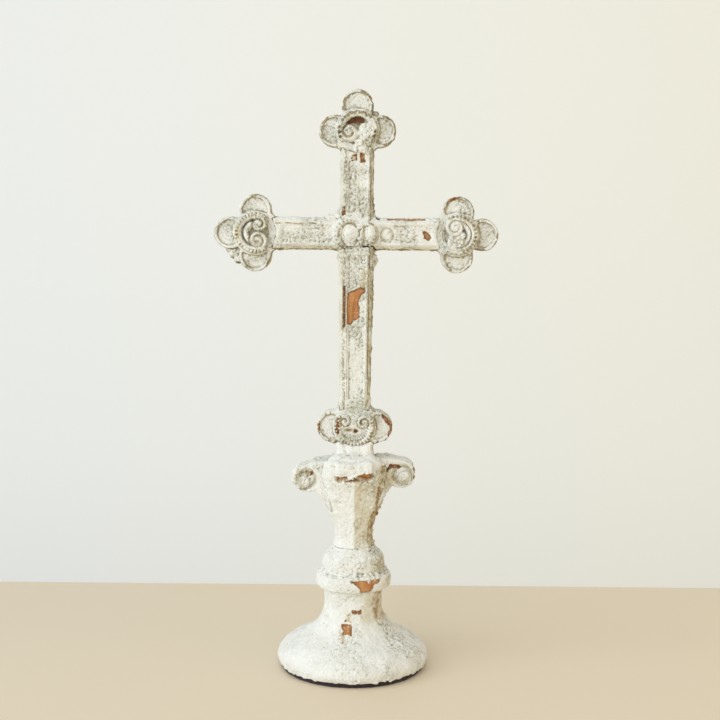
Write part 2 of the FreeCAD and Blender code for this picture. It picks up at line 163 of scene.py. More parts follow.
FRONT_CHIPS = {
    "upright": [
        (1.0, 0.8, [(-5.4, 80.4), (-1.6, 81.9), (3.2, 84.2), (6.1, 83.8), (6.4, 81.4), (3.7, 78.5),
                    (1.9, 73.7), (2.4, 69.8), (2.6, 64.0), (-0.9, 61.7), (-3.3, 59.2), (-5.7, 59.7),
                    (-6.1, 70.8)]),
        (1.0, 0.3, [(-8.9, 84.7), (-7.0, 84.7), (-6.9, 57.4), (-8.8, 57.0)]),
        (0.05, 1.0, [(3.4, 83.8), (6.9, 83.8), (7.2, 96.0), (4.0, 97.0)]),
        (0.38, 1.8, [(-4.4, 171.8), (-0.6, 173.0), (0.2, 169.6), (-3.4, 168.4)]),
        (0.74, 1.6, [(1.6, 175.8), (4.8, 175.2), (5.4, 167.3), (2.4, 167.0)]),
        (0.80, 0.9, [(-9.9, 138.2), (-7.6, 138.0), (-7.2, 132.6), (-9.6, 131.8)]),
    ],
    "crossbar": [
        (0.85, 1.2, [(44.4, 17.0), (47.4, 16.4), (50.2, 12.6), (48.2, 10.2), (45.6, 12.0)]),
        (0.85, 0.7, [(20.7, 25.2), (46.0, 25.2), (46.5, 23.7), (33.0, 23.8), (20.7, 24.0)]),
    ],
    "collar_ring": [
        (1.0, 0.9, [(-2.2, 8.6), (18.8, 8.8), (17.8, 6.6), (14.2, 5.2), (12.8, 1.5), (10.4, -0.6),
                    (5.2, -0.4), (5.4, 2.4), (2.0, 5.8)]),
    ],
    "foot": [
        (0.72, 1.3, [(-0.4, 41.0), (5.8, 40.8), (6.0, 38.6), (-0.3, 38.4)]),
        (0.85, 1.0, [(-7.6, 31.6), (-0.8, 31.8), (-0.6, 25.8), (-6.6, 26.2)]),
        (0.28, 2.2, [(-4.6, 39.0), (-1.0, 38.4), (-1.4, 33.4), (-4.8, 33.8)]),
        (0.25, 2.2, [(-9.0, 27.0), (-5.0, 26.0), (-5.6, 21.6), (-8.4, 22.6)]),
    ],
    "stem": [(0.80, 1.3, [(-6.0, 52.6), (-1.0, 53.0), (3.5, 53.8), (3.5, 51.2), (-1.0, 50.2), (-6.0, 49.8)])],
    "lip_front": [
        (0.62, 1.5, [(-13.5, 2.4), (-4.0, 2.4), (-1.0, -1.5), (-13.5, -3.0)]),
        (1.0, 1.3, [(-3.0, 2.0), (4.0, 3.6), (12.5, 4.6), (12.5, 1.2), (4.0, -0.4), (-3.0, -1.4)]),
    ],
    "volute_right": [
        (0.90, 1.0, [(-8.2, 25.0), (-5.0, 28.2), (1.2, 28.0), (4.0, 26.2), (0.8, 25.4), (-3.5, 25.6),
                     (-7.0, 23.2)]),
        (0.70, 1.2, [(11.4, 27.0), (13.4, 26.0), (13.6, 15.0), (11.6, 15.0)]),
        (0.0, 1.5, [(-13.0, 25.0), (-3.0, 22.5), (-1.5, 14.0), (-10.0, 11.0), (-13.0, 15.0)]),
    ],
    "volute_left": [(0.40, 2.2, [(-6.0, 26.0), (0.0, 28.0), (3.0, 25.0), (-3.0, 23.4)])],
    "left_end": [(0.45, 1.6, [(26.0, 16.4), (40.0, 12.6), (36.0, 9.8), (26.0, 12.0)])],
    "top_end": [
        (0.90, 0.8, [(8.2, 38.9), (11.6, 34.8), (10.2, 33.4), (6.9, 37.9)]),
        (0.90, 1.2, [(-8.2, 20.0), (-6.0, 24.0), (0.0, 25.4), (4.0, 23.6), (4.0, 20.6), (-3.0, 20.8)]),
    ],
    "right_end": [(0.75, 1.4, [(-14.0, 46.0), (-11.6, 50.4), (-6.0, 52.4), (-4.0, 50.8), (-10.5, 47.6)])],
    "lower_end": [
        (0.85, 1.0, [(18.6, 24.4), (24.0, 20.6), (25.9, 15.0), (24.2, 8.6), (22.6, 9.2), (23.8, 15.0),
                     (18.0, 22.6)]),
        (0.60, 1.4, [(-25.9, 17.0), (-23.6, 17.0), (-23.4, 10.0), (-25.4, 10.6)]),
    ],
    "crest_left_front": [
        (0.0, 1.2, [(-10.0, 8.0), (-8.2, 7.0), (-7.0, 13.0), (-8.0, 20.0), (-10.0, 19.0)])],
    "crest_lower_front": [
        (0.50, 2.2, [(-13.8, 8.0), (-13.2, 18.6), (-9.4, 20.8), (-9.8, 16.0), (-11.4, 8.0)])],
}

# Open cracks where the paint has broken away along an edge, darkened as painted shade: lines seen
# from the front, in millimetres from the middle of the boss.

CRACKS = [
    [(-10.6, -7.6), (-8.6, -8.8), (-5.0, -9.4), (-2.8, -8.8)],
    [(3.2, -6.6), (4.8, -8.4), (7.8, -7.8), (10.4, -8.4), (12.2, -10.2), (13.2, -12.6), (13.2, -15.0)],
    [(-8.0, -35.5), (-7.9, -47.0), (-8.1, -55.0), (-8.0, -61.5)],
    [(12.4, 11.2), (14.8, 10.0)],
]


def front_place(node, points):
    """X from the middle of the node's box and Z from its low end."""
    low, high = node_box(node)
    return points[:, 0] - 0.5 * (low[0] + high[0]), points[:, 2] - low[2]


def chip_mask(node, points, normals):
    """How bare the wood is and how thin the paint is, 0 to 1, on faces that look forward."""
    x, z = front_place(node, points)
    ragged = 0.55 * noise(points, 2.6, 71) + 0.45 * noise(points, 1.3, 72)
    flakes = 0.5 + 0.45 * noise(points, 2.2, 73) + 0.30 * noise(points, 1.3, 74)
    bare = np.zeros(len(points))
    thin = np.zeros(len(points))
    for share, torn, outline in FRONT_CHIPS.get(node, []):
        within = step(-0.14, 0.14, inside_outline(x, z, outline) + torn * ragged)
        gone = step(-0.10, 0.10, share - flakes) if share < 1 else 1.0
        bare = np.maximum(bare, within * gone)
        thin = np.maximum(thin, within * (0.50 + 0.35 * share))
    forward = normals[:, 1] < 0.25
    return bare * forward, thin * forward


def crack_mask(node, points, normals):
    """1 in the open cracks, on the faces that look forward; the cracks are darkened as painted shade."""
    if node not in ("upright", "crossbar", "boss_front"):
        return np.zeros(len(points))
    low, high = node_box("boss_front")
    x = points[:, 0] - 0.5 * (low[0] + high[0])
    z = points[:, 2] - 0.5 * (low[2] + high[2])
    wide = 0.62 + 0.35 * noise(points, 2.0, 75)
    mask = np.zeros(len(points))
    for line in CRACKS:
        for start, end in zip(line, line[1:]):
            mask = np.maximum(mask, step(0.25, -0.15, from_line(x, z, start, end) - wide))
    return mask * (normals[:, 1] < -0.2)


def clump(x, y, z, spread, count, size, seed):
    """Crumbs of paint heaped up around a place, each a small lump."""
    pick = random.Random(seed)
    lumps = []
    for _ in range(count):
        place = [c + pick.uniform(-s, s) for c, s in zip((x, y, z), spread)]
        big = pick.uniform(*size)
        lumps.append((*place, big * pick.uniform(0.8, 1.3), big, big * pick.uniform(0.8, 1.2)))
    return lumps


def crumb_ring(radius, z, count, size, seed):
    """Crumbs of paint round a turned piece, some larger and some missing."""
    pick = random.Random(seed)
    lumps = []
    for k in range(count):
        angle = 2 * math.pi * (k + pick.uniform(-0.4, 0.4)) / count
        r = radius + pick.uniform(-0.5, 0.5)
        big = pick.uniform(*size)
        lumps.append((r * math.cos(angle), r * math.sin(angle), z + pick.uniform(-0.4, 0.4),
                      big * pick.uniform(0.9, 1.5), big * pick.uniform(0.9, 1.5), big))
    return lumps


def roll_crumbs(x, y, z, radius, turns, count, size, seed):
    """Crumbs of paint stuck along an arc of a roll that lies front to back."""
    pick = random.Random(seed)
    lumps = []
    for _ in range(count):
        angle = math.radians(pick.uniform(*turns))
        r = radius + pick.uniform(-0.9, -0.1)
        big = pick.uniform(*size)
        lumps.append((x + r * math.cos(angle), y + pick.uniform(-2.4, 2.4), z + r * math.sin(angle),
                      big, big * 1.1, big))
    return lumps


# Meshes and objects

def mesh_of(shape, name):
    """A mesh made from a bmesh, which is freed."""
    mesh = bpy.data.meshes.new(name)
    shape.to_mesh(mesh)
    shape.free()
    return mesh


def placed(name, data):
    """A new object in the scene."""
    item = bpy.data.objects.new(name, data)
    bpy.context.scene.collection.objects.link(item)
    return item


def remeshed(node, voxel, lumps=()):
    """The node's outside as an even fine mesh, with any lumps of paint merged in."""
    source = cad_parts[node].data
    shape = bmesh.new()
    shape.from_mesh(source)
    bmesh.ops.remove_doubles(shape, verts=shape.verts, dist=1e-7)
    low, high = node_box(node)
    middle = 0.5 * (low + high)
    for x, y, z, rx, ry, rz in lumps:
        place = Matrix.Translation(Vector((middle[0] + x, middle[1] + y, low[2] + z)) * MM)
        size = Matrix.Diagonal(Vector((rx, ry, rz)) * MM).to_4x4()
        bmesh.ops.create_icosphere(shape, subdivisions=3, radius=1.0, matrix=place @ size)
    mesh = mesh_of(shape, "solid_" + node)
    holder = placed("solid_" + node, mesh)
    remesh = holder.modifiers.new("even", "REMESH")
    remesh.mode = "VOXEL"
    remesh.voxel_size = voxel * MM
    graph = bpy.context.evaluated_depsgraph_get()
    fine = bpy.data.meshes.new_from_object(holder.evaluated_get(graph), depsgraph=graph)
    bpy.data.objects.remove(holder)
    bpy.data.meshes.remove(mesh)
    return fine


def read(mesh):
    """The mesh's points in millimetres, and the point numbers of its edges."""
    co = np.zeros(len(mesh.vertices) * 3, np.float32)
    mesh.vertices.foreach_get("co", co)
    edges = np.zeros(len(mesh.edges) * 2, np.int32)
    mesh.edges.foreach_get("vertices", edges)
    return co.reshape(-1, 3).astype(float) / MM, edges.reshape(-1, 2)


def write(mesh, co):
    mesh.vertices.foreach_set("co", (co * MM).astype(np.float32).ravel())
    mesh.update()


def normals_of(mesh):
    found = np.zeros(len(mesh.vertices) * 3, np.float32)
    mesh.vertex_normals.foreach_get("vector", found)
    return found.reshape(-1, 3).astype(float)


def relaxed(values, edges, times, strength=0.6):
    """Each point moved towards the mean of its neighbours, several times."""
    values = values.astype(float).copy()
    single = values.ndim == 1
    if single:
        values = values[:, None]
    count = len(values)
    a, b = edges[:, 0], edges[:, 1]
    degree = np.maximum(np.bincount(a, minlength=count) + np.bincount(b, minlength=count), 1)
    for _ in range(times):
        for k in range(values.shape[1]):
            v = values[:, k]
            mean = (np.bincount(a, v[b], count) + np.bincount(b, v[a], count)) / degree
            values[:, k] = v + strength * (mean - v)
    return values[:, 0] if single else values


def attribute(mesh, name, values):
    layer = mesh.attributes.new(name, "FLOAT", "POINT")
    layer.data.foreach_set("value", values.astype(np.float32))


# Where two pieces meet, the paint fills the corner. The number is how far from the other piece,
# in millimetres, the filling starts.

ENDS = ("top", "left", "right", "lower")
FILL = {
    "foot": 5.0, "collar_ring": 8.0, "knop": 8.0, "stem": 14.0, "neck": 12.0, "volute_left": 15.0,
    "volute_right": 15.0, "lip_front": 16.0, "lip_rear": 16.0, "upright": 7.0, "crossbar": 7.0,
    "top_end": 5.0, "left_end": 5.0, "right_end": 5.0, "lower_end": 7.0,
}
FILL.update({"crest_" + end + "_" + face: 2.6 for face in ("front", "rear") for end in ENDS})
FILL.update({"boss_front": 3.0, "boss_rear": 3.0})


def surface_of(node):
    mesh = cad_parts[node].data
    points = [v.co / MM for v in mesh.vertices]
    return BVHTree.FromPolygons(points, [tuple(p.vertices) for p in mesh.polygons])


SURFACES = {node: surface_of(node) for node in FILL}


def corner_filling(node, co, normals):
    """How far each point moves, as a vector, so that paint rounds off the corner with a neighbour."""
    move = np.zeros_like(co)
    biggest = np.zeros(len(co))
    for other, surface in SURFACES.items():
        if other == node:
            continue
        reach = min(FILL[node], FILL[other])
        low, high = node_box(other)
        near = np.nonzero(np.all((co > low - reach) & (co < high + reach), axis=1))[0]
        hits = [surface.find_nearest(Vector(co[i]), reach) for i in near]
        kept = [k for k, hit in enumerate(hits) if hit[0] is not None]
        if not kept:
            continue
        near = near[kept]
        place = np.array([hits[k][0] for k in kept])
        facing = np.array([hits[k][1] for k in kept])
        apart = co[near] - place
        away = np.sqrt((apart ** 2).sum(1))
        outside = (apart * facing).sum(1) > 0
        toward = np.where((outside & (away > 0.05))[:, None], apart / np.maximum(away, 1e-6)[:, None], facing)
        turn = np.clip(1.0 - (normals[near] * facing).sum(1), 0, 1)
        size = (reach - away) ** 2 / (4 * reach) * turn
        share = 0.5 + 0.5 * away / reach
        way = share[:, None] * normals[near] + (1 - share)[:, None] * toward
        way /= np.maximum(np.sqrt((way ** 2).sum(1)), 0.35)[:, None]
        bigger = size > biggest[near]
        move[near[bigger]] = (way * size[:, None])[bigger]
        biggest[near[bigger]] = size[bigger]
    return move


# Carving of the ornaments. u runs outwards along the arm and v across it, in millimetres from
# the middle of the end plate; the curls lie at these places, each with its radius and turning sense.

OUTWARD = {"top": (0, 1), "left": (-1, 0), "right": (1, 0), "lower": (0, -1)}
ARM_CURLS = ((-1.9, 4.8, 6.3, 1), (-2.8, -5.8, 5.0, -1))
CREST_CURLS = {
    "top": ((-0.9, 5.3, 5.7, 1),), "left": ARM_CURLS, "right": ARM_CURLS[:1],
    "lower": ((-3.4, 6.2, 5.0, 1), (-4.2, -6.6, 4.3, -1)),
}

# Radii of the crests, in millimetres: the outer end of the band, the ring of pits and the rill;
# and the beads that a full round of the band would have.
CREST_REACH = 13.6
PIT_RING = 12.0
RILL_RING = 10.9
BEADS = 32

# How dark the round recess of each end plate lies (painted shade and dirt), and how far out the middles of
# its lobes are.
RECESS_DARK = {"top": 0.85, "left": 0.85, "right": 0.45, "lower": 0.25}
LOBE_OUT = 17.5

# Ovals of the boss: middle, half-widths and the direction in which the groove round each is whole.
# Its flutes run upright at these places along X.
BOSS_OVALS = ((-4.5, -0.8, 5.3, 7.4, 2.3), (9.1, -0.6, 3.6, 7.0, 0.0))
BOSS_FLUTES = (4.8, 13.5)

# The ring carved on the crossbar (place along X, height and radius), and the heights above the
# crossbar's low side of the panel line and of the painted shade line along the lower edge.
BAR_RING = (20.4, 14.2, 4.1)
PANEL_LINE = 21.2
LOWER_LINE = 3.7

# Middle of each volute's roll: how far in from its outer end, and how far above its low end.
ROLL_MIDDLE = 9.4
ROLL_HEIGHT = 21.5


def crest_middle(end):
    """Middle of an end plate, worked out from the box of its crest."""
    low, high = node_box("crest_" + end + "_front")
    ux, uz = OUTWARD[end]
    x = 0.5 * (low[0] + high[0]) if ux == 0 else (high[0] if ux > 0 else low[0]) - CREST_REACH * ux
    z = 0.5 * (low[2] + high[2]) if uz == 0 else (high[2] if uz > 0 else low[2]) - CREST_REACH * uz
    return x, z


def crest_plane(end, rear, co):
    """Coordinates u, v of points in the plane of an end plate."""
    x, z = crest_middle(end)
    ux, uz = OUTWARD[end]
    du, dv = (ux, uz), ((-uz, ux) if not rear else (uz, -ux))
    dx, dz = co[:, 0] - x, co[:, 2] - z
    return dx * du[0] + dz * du[1], dx * dv[0] + dz * dv[1]


def spiral(u, v, curl):
    """0 on the ridge of a rolled scroll and 1 in its groove; and 1 inside the curl, 0 outside."""
    cu, cv, radius, sense = curl
    r = np.hypot(u - cu, v - cv)
    angle = np.arctan2(sense * (v - cv), u - cu)
    turns = (radius - r) / 3.3 - (angle - math.pi / 2) / (2 * math.pi)
    off = np.abs(turns - np.round(turns))
    return step(0.26, 0.43, off) * step(0.7, 1.5, r), step(radius + 0.3, radius - 0.5, r)


def carved_crest(end, rear, co):
    """Depth to cut below the surface of a crest, and how dark the cut lies with painted shade and dirt."""
    u, v = crest_plane(end, rear, co)
    r = np.hypot(u, v)
    angle = np.arctan2(v, u)
    beads = 0.5 - 0.5 * np.cos(angle * BEADS + 0.9 * noise(co, 9.0, 77))
    rim = step(10.7, 11.7, r)
    gap = step(0.45, 0.80, beads + 0.25 * noise(co, 4.0, 78)) * rim
    gap *= 0.25 + 0.75 * step(-0.45, 0.15, noise(co, 6.5, 76))
    if end == "top" and not rear:
        gap = top_pits(u, v)
    if end == "right" and not rear:
        gap = right_pits(u, v)
    rill = step(0.55, 0.15, np.abs(r - RILL_RING)) * (0.15 if end == "lower" else 0.45)
    cut = 1.25 * gap + 0.6 * rill
    dark = np.maximum(gap * (1.0 if rear else 1.2), rill)
    inside = np.zeros(len(co))
    for curl in ARM_CURLS if rear and end in ("top", "right") else CREST_CURLS[end]:
        groove, here = spiral(u, v, curl)
        worn_away = 0.55 + 0.45 * step(-0.4, 0.3, noise(co, 4.5, 87))
        worn_away = worn_away * (0.6 if end == "right" and not rear else 1.0)
        cut = np.where(here > 0.3, 1.35 * groove * here * worn_away, cut)
        dark = np.where(here > 0.3, groove * worn_away, dark)
        inside = np.maximum(inside, here)
    if end == "lower":
        cut, dark = lower_hollows(co, u, v, beads, inside, cut, dark)
    if end == "right":
        ring = step(0.5, 0.15, np.abs(r - 8.9)) * step(-3.0, 1.0, u)
        cut = np.maximum(cut, 0.7 * ring)
        dark = np.maximum(dark, 0.8 * ring)
    if end == "top" and not rear:
        covered = step(1.20, 0.85, np.hypot((u + 5.0) / 10.0, (v + 5.4) / 6.2 + 0.02 * u))
        covered = np.maximum(covered * step(11.4, 10.4, r), covered * step(-7.0, -9.0, u))
        cut = cut * (1 - covered)
        dark = dark * (1 - covered)
    return cut, dark


def lower_hollows(co, u, v, beads, inside, cut, dark):
    """The lower crest's ribs between its curls, and its pit and the brow beside it, darkened as painted
    shade.
    """
    r = np.hypot(u, v)
    ribs = step(0.50, 0.85, beads) * step(3.0, 6.5, r) * step(-2.5, 1.5, u) * (1 - inside)
    ribs *= 0.25 + 0.75 * step(-8.0, -1.0, v)
    pit = 1.85 * step(1.9, 0.9, np.hypot(u - 2.4, (v - 0.8) * 0.8) + 0.4 * noise(co, 2.0, 104))
    fan = step(11.5, 10.0, r) * ribs
    brow = step(1.25, 0.60, np.hypot((u - 1.8) / 1.2, (v + 4.0) / 3.6) + 0.2 * noise(co, 2.4, 103))
    cut = cut + 0.8 * pit + 0.35 * fan + 1.1 * brow
    dark = np.maximum(np.maximum(dark, pit), np.maximum(0.30 * fan, 1.30 * brow))
    return cut, dark


# Pits of the top crest: turn round its middle in degrees, and radius.
TOP_PITS = ((170, 1.25), (186, 1.0), (201, 1.1), (145, 0.9), (132, 0.9), (-3, 0.9), (-18, 1.1), (-31, 0.9))


def top_pits(u, v):
    """Round pits down both sides of the top crest and a crooked dark line of them over its top."""
    pits = np.zeros(len(u))
    for turn, size in TOP_PITS:
        turn = math.radians(turn)
        away = np.hypot(-v - PIT_RING * math.cos(turn), u - PIT_RING * math.sin(turn))
        pits = np.maximum(pits, 1.15 * step(size + 0.2, size - 0.4, away))
    r = np.hypot(u, v)
    angle = np.degrees(np.arctan2(u, -v))
    crooked = 12.3 + 0.6 * np.sin(np.radians(angle) * 17) + 0.3 * np.sin(np.radians(angle) * 29)
    line = step(1.0, 0.45, np.abs(r - crooked)) * step(36, 46, angle) * step(130, 122, angle)
    return np.maximum(pits, 0.95 * line)


def right_pits(u, v):
    """Round pits between the beads of the right crest, close together on its outer side."""
    pits = np.zeros(len(u))
    for k in range(16):
        turn = math.radians(-70 + 12.5 * k)
        away = np.hypot(u - PIT_RING * math.cos(turn), v - PIT_RING * math.sin(turn))
        pits = np.maximum(pits, (0.80 + 0.15 * (k % 3)) * step(1.25, 0.5, away))
    return pits


# Bands that the left and right crests carry on with: radius, first turn and turn per bead in
# degrees, and number of beads.
CREST_BANDS = {"left": (6.0, 112, 6, 24), "right": (7.7, -100, 5, 40)}


def scroll_lumps(end):
    """Beads of a rolled band that carries each crest on round its curls."""
    x, z = crest_middle(end)
    ux, uz = OUTWARD[end]
    low, high = node_box("crest_" + end + "_front")
    lumps = []
    for cu, cv, radius, sense in CREST_CURLS[end]:
        for k in range(15):
            angle = math.radians(70 + 15 * k)
            r = radius - 0.9 * (15 * k / 90.0)
            u = cu + r * math.cos(angle)
            v = cv + r * math.sin(angle) * sense
            fat = 1.75 - 0.04 * k
            px = x + u * ux - v * uz
            pz = z + u * uz + v * ux
            lumps.append((px - 0.5 * (low[0] + high[0]), 0.0, pz - low[2], fat, 2.2, fat))
    radius, first, turn, count = CREST_BANDS.get(end, (0.0, 0, 0, 0))
    for k in range(count):
        angle = math.radians(first + turn * k)
        px = x + radius * math.cos(angle)
        pz = z + radius * math.sin(angle)
        lumps.append((px - 0.5 * (low[0] + high[0]), 0.6, pz - low[2], 1.7, 2.0, 1.7))
    return lumps


def carved_plate(end, co, normals):
    """The dished middle of an end plate, front and rear, darkened with painted shade and dirt, and the worn
    arcs on its lobes.
    """
    depth = np.zeros(len(co))
    dark = np.zeros(len(co))
    for rear, sign in ((False, -1.0), (True, 1.0)):
        u, v = crest_plane(end, rear, co)
        flat = step(0.4, 0.8, sign * normals[:, 1])
        here = step(9.8, 8.6, np.hypot(u, v)) * flat
        depth += sign * here * (0.3 if end == "lower" else 1.3)
        deep_shade = 0.45 * step(2.5, 5.0, u) if end == "top" and not rear else 0.0
        dark = np.maximum(dark, here * (RECESS_DARK[end] + deep_shade))
        outward = np.abs(u) > np.abs(v)
        lobe_u = np.where(outward, np.abs(u), np.abs(v)) - LOBE_OUT
        lobe = np.hypot(lobe_u, np.where(outward, v, u))
        arcs = step(0.62, 0.95, np.cos(lobe * 2.6 + 0.8 * noise(co, 7.0, 86))) * step(7.6, 6.6, lobe)
        arcs *= step(14.2, 15.2, np.hypot(u, v)) * flat
        arcs *= step(-0.3, 0.3, noise(co, 6.0, 88))
        depth += sign * 0.30 * arcs
        dark = np.maximum(dark, 0.35 * arcs)
    return -depth, dark


def carved_boss(node, co, facing):
    """Grooves round the ovals of the boss, its flutes and the nicks round its rim."""
    low, high = node_box(node)
    x = (co[:, 0] - 0.5 * (low[0] + high[0])) * -facing
    z = co[:, 2] - 0.5 * (low[2] + high[2])
    depth = np.zeros(len(co))
    dark = np.zeros(len(co))
    for cx, cz, rx, rz, turn in BOSS_OVALS:
        ring = np.hypot((x - cx) / rx, (z - cz) / rz)
        around = np.cos(np.arctan2((z - cz) / rz, (x - cx) / rx) - turn)
        broken = step(-0.45, 0.0, noise(co, 5.0, 79) * 0.5 + around)
        groove = step(0.15, 0.04, np.abs(ring - 1.08)) * broken
        depth = np.maximum(depth, 0.7 * groove)
        dark = np.maximum(dark, 1.20 * groove)
    for line in BOSS_FLUTES:
        flute = step(1.3, 0.4, np.abs(x - line - 0.4 * noise(co, 6.0, 83))) * step(7.4, 4.6, np.abs(z))
        depth = np.maximum(depth, 0.9 * flute)
        dark = np.maximum(dark, 0.7 * flute)
    far = np.hypot((x + 0.4) / 15.0, z / 9.6)
    nicks = step(0.55, 0.9, 0.5 - 0.5 * np.cos(np.arctan2(z, x) * 30)) * step(0.86, 0.94, far)
    return np.maximum(depth, 0.9 * nicks), np.maximum(dark, nicks)


def carved_crossbar(co):
    """A small broken ring on the right arm and the panel line along the left one."""
    ring_x, ring_z, radius = BAR_RING
    low = node_box("crossbar")[0]
    ring = np.hypot(co[:, 0] - ring_x, co[:, 2] - low[2] - ring_z)
    depth = 0.6 * step(0.9, 0.3, np.abs(ring - radius)) * step(-0.4, 0.1, noise(co, 3.5, 84))
    wander = 0.35 * noise(co, 9.0, 85)
    left = step(-25.0, -28.0, co[:, 0]) * step(-0.9, -0.2, noise(co, 6.0, 89))
    groove = step(0.75, 0.25, np.abs(co[:, 2] - low[2] - PANEL_LINE - wander)) * left
    depth = np.maximum(depth, 0.8 * groove)
    return depth, 1.55 * depth


def volute_ring(node, co, normals):
    """Painted shade and dirt in the ring round the eye of a volute, which the solid already has as a groove.
    """
    low, high = node_box(node)
    x = high[0] - ROLL_MIDDLE if node == "volute_right" else low[0] + ROLL_MIDDLE
    r = np.hypot(co[:, 0] - x, co[:, 2] - low[2] - ROLL_HEIGHT)
    return step(4.0, 5.0, r) * step(7.9, 7.0, r) * step(0.3, 0.7, np.abs(normals[:, 1])) * 0.75


def carving(node, co, normals):
    """Vector to move each point by, and darkness of the cut, painted shade and dirt, for the carved
    ornaments.
    """
    kind, *rest = node.split("_")
    along_y = np.array((0.0, 1.0, 0.0))
    if kind == "volute":
        return np.zeros_like(co), volute_ring(node, co, normals)
    if rest == ["end"]:
        depth, dark = carved_plate(kind, co, normals)
        return depth[:, None] * along_y, dark
    facing = -1.0 if "front" in rest or kind == "crossbar" else 1.0
    if kind == "crest":
        depth, dark = carved_crest(rest[0], "rear" in rest, co)
    elif kind == "boss":
        depth, dark = carved_boss(node, co, facing)
    elif kind == "crossbar":
        depth, dark = carved_crossbar(co)
    else:
        return np.zeros_like(co), np.zeros(len(co))
    here = step(0.1, 0.5, facing * normals[:, 1])
    return (-facing * depth * here)[:, None] * along_y, dark * here


# Depth of a chip that bares the wood, and how much narrower each half of the upright is at its foot.
BARE_DEPTH = 0.80
UPRIGHT_TAPER = 1.4

# The dark seam down the left of the upright: heights above its low end, and places along X.
SEAM = ((0.0, 60.0, 100.0, 142.0, 178.0), (-7.5, -8.3, -8.0, -7.8, -7.8))

# Paint built up on the sides of a piece: heights above its low end, and thickness there.
SIDE_PAINT = {
    "upright": ((0.0, 30.0, 60.0, 90.0, 128.0, 142.0, 178.0), (0.3, 0.3, 0.7, 1.0, 1.0, -0.15, -0.15)),
    "crossbar": ((0.0, 1.0), (0.3, 0.3)),
}

# How a piece is painted, where its own settings do not say otherwise.
PLAIN_PAINT = {
    "rough": 1.0,  # height of the crumbs and blobs
    "grime": 0.4,  # dirt and painted shade in the hollows and between the crumbs
    "rim_wear": 0.35,  # share of the outer edges that is worn brown
    "edge_wide": 1.2,  # width of such an edge, in millimetres
    "side_stain": 0.0,  # yellow-brown stain and painted shade on the faces that look to the right
    "side_from": (0.35, 0.60),  # how far to the right a face looks at half and at all of the stain and shade
    "side_rough": 0.5,  # extra roughness of those faces
    "side_low": -10.0,  # height above the low end from which they are stained and shaded
    "under_stain": 0.0,  # painted shade on the faces that look down
    "calm": 0.0,  # how much smoother the paint is on the left, with less grime and painted shade there
    "dents": 0.0,  # depth of broad shallow dents
    "strokes": None,  # axis along which the paint is drawn out, if there is one
    "soften": 3,  # rounds of smoothing after the carving
    "lumps": (),  # lumps of paint merged into the piece
}


def worn_edges(co, edges, normals, voxel, look):
    """How worn the outer edges are, 0 to 1, most of all those that look to the right."""
    rounds = max(3, int(look.edge_wide / voxel) ** 2)
    ridge = ((co - relaxed(co, edges, rounds)) * normals).sum(1)
    uneven = noise(co, 5.5, 61) + 0.6 * noise(co, 1.9, 62)
    uneven += 0.35 + 0.7 * normals[:, 0]
    return step(0.07, 0.24, ridge) * step(1.0 - 1.6 * look.rim_wear, 1.25 - 1.6 * look.rim_wear, uneven)


def from_right_side(co):
    """How far each point of the upright lies in from its tapering right side."""
    low, high = node_box("upright")
    wide = 0.5 * (high[0] - low[0])
    half = np.interp(co[:, 2], (low[2], high[2]), (wide - UPRIGHT_TAPER, wide))
    return half - co[:, 0] + 0.5 * (low[0] + high[0])


def right_faces(node, co, normals, drawn, look):
    """1 on the faces that look to the right, which take stain and painted shade, and 0 elsewhere."""
    low, high = node_box(node)
    nx = normals[:, 0]
    half, whole = look.side_from
    side = np.clip(0.5 * (step(half, half + 0.12, nx) + step(whole, whole + 0.15, nx)), 0, 1)
    side *= step(look.side_low, look.side_low + 8.0, co[:, 2] - low[2])
    if node == "upright":
        side *= step(2.7, 2.2, from_right_side(co) + 0.5 * noise(drawn, 5.0, 92))
        side *= 1 - 0.75 * step(0.0, 0.35, noise(drawn, 2.6, 100) + 0.4 * noise(co, 1.6, 101))
    side *= 1 - 0.3 * step(0.88, 0.97, nx)
    right_half = co[:, 0] > 0.5 * (low[0] + high[0]) - 2.0
    return side * step(0.60, 0.30, normals[:, 2]) * right_half * (look.side_stain > 0)


def relief(node, co, normals, drawn, voxel, look, patchy, side, arris):
    """Height of the paint: broad waves, dents, crumbs, blobs, grains and the lines between them."""
    crumb = noise(co, 2.7, 7) + 0.65 * noise(co, max(1.5, 3.4 * voxel), 8)
    if look.strokes is not None:
        crumb = 0.75 * crumb + 0.85 * noise(drawn, max(1.5, 3.4 * voxel), 12)
    crumb = np.clip(crumb, -1.1, 0.9)
    ridges = 1 - np.abs(noise(co, 3.1, 51) + 0.35 * noise(co, 1.6, 52)) * 2.6
    blobs = spots(co, 4.2, 21, 0.35, 2.9)
    grains = spots(co, 2.4, 31, 0.45, 1.9)
    strength = look.rough * (0.26 + 0.74 * patchy) * (1 + look.side_rough * side)
    heights, thickness = SIDE_PAINT.get(node, ((0.0, 1.0), (0.0, 0.0)))
    height = np.interp(co[:, 2] - node_box(node)[0][2], heights, thickness)
    height *= step(0.25, 0.7, 1 - np.abs(normals[:, 1]))
    height += (0.26 * layered(co, 13.0, 3, 2) + 0.30 * arris
               + look.dents * (noise(co, 6.5, 107) + 0.5 * noise(co, 3.6, 108)))
    return height + strength * (
        0.46 * crumb + 0.65 * blobs + 0.55 * (grains - 0.2) - 0.35 * np.clip(ridges, 0, 1))


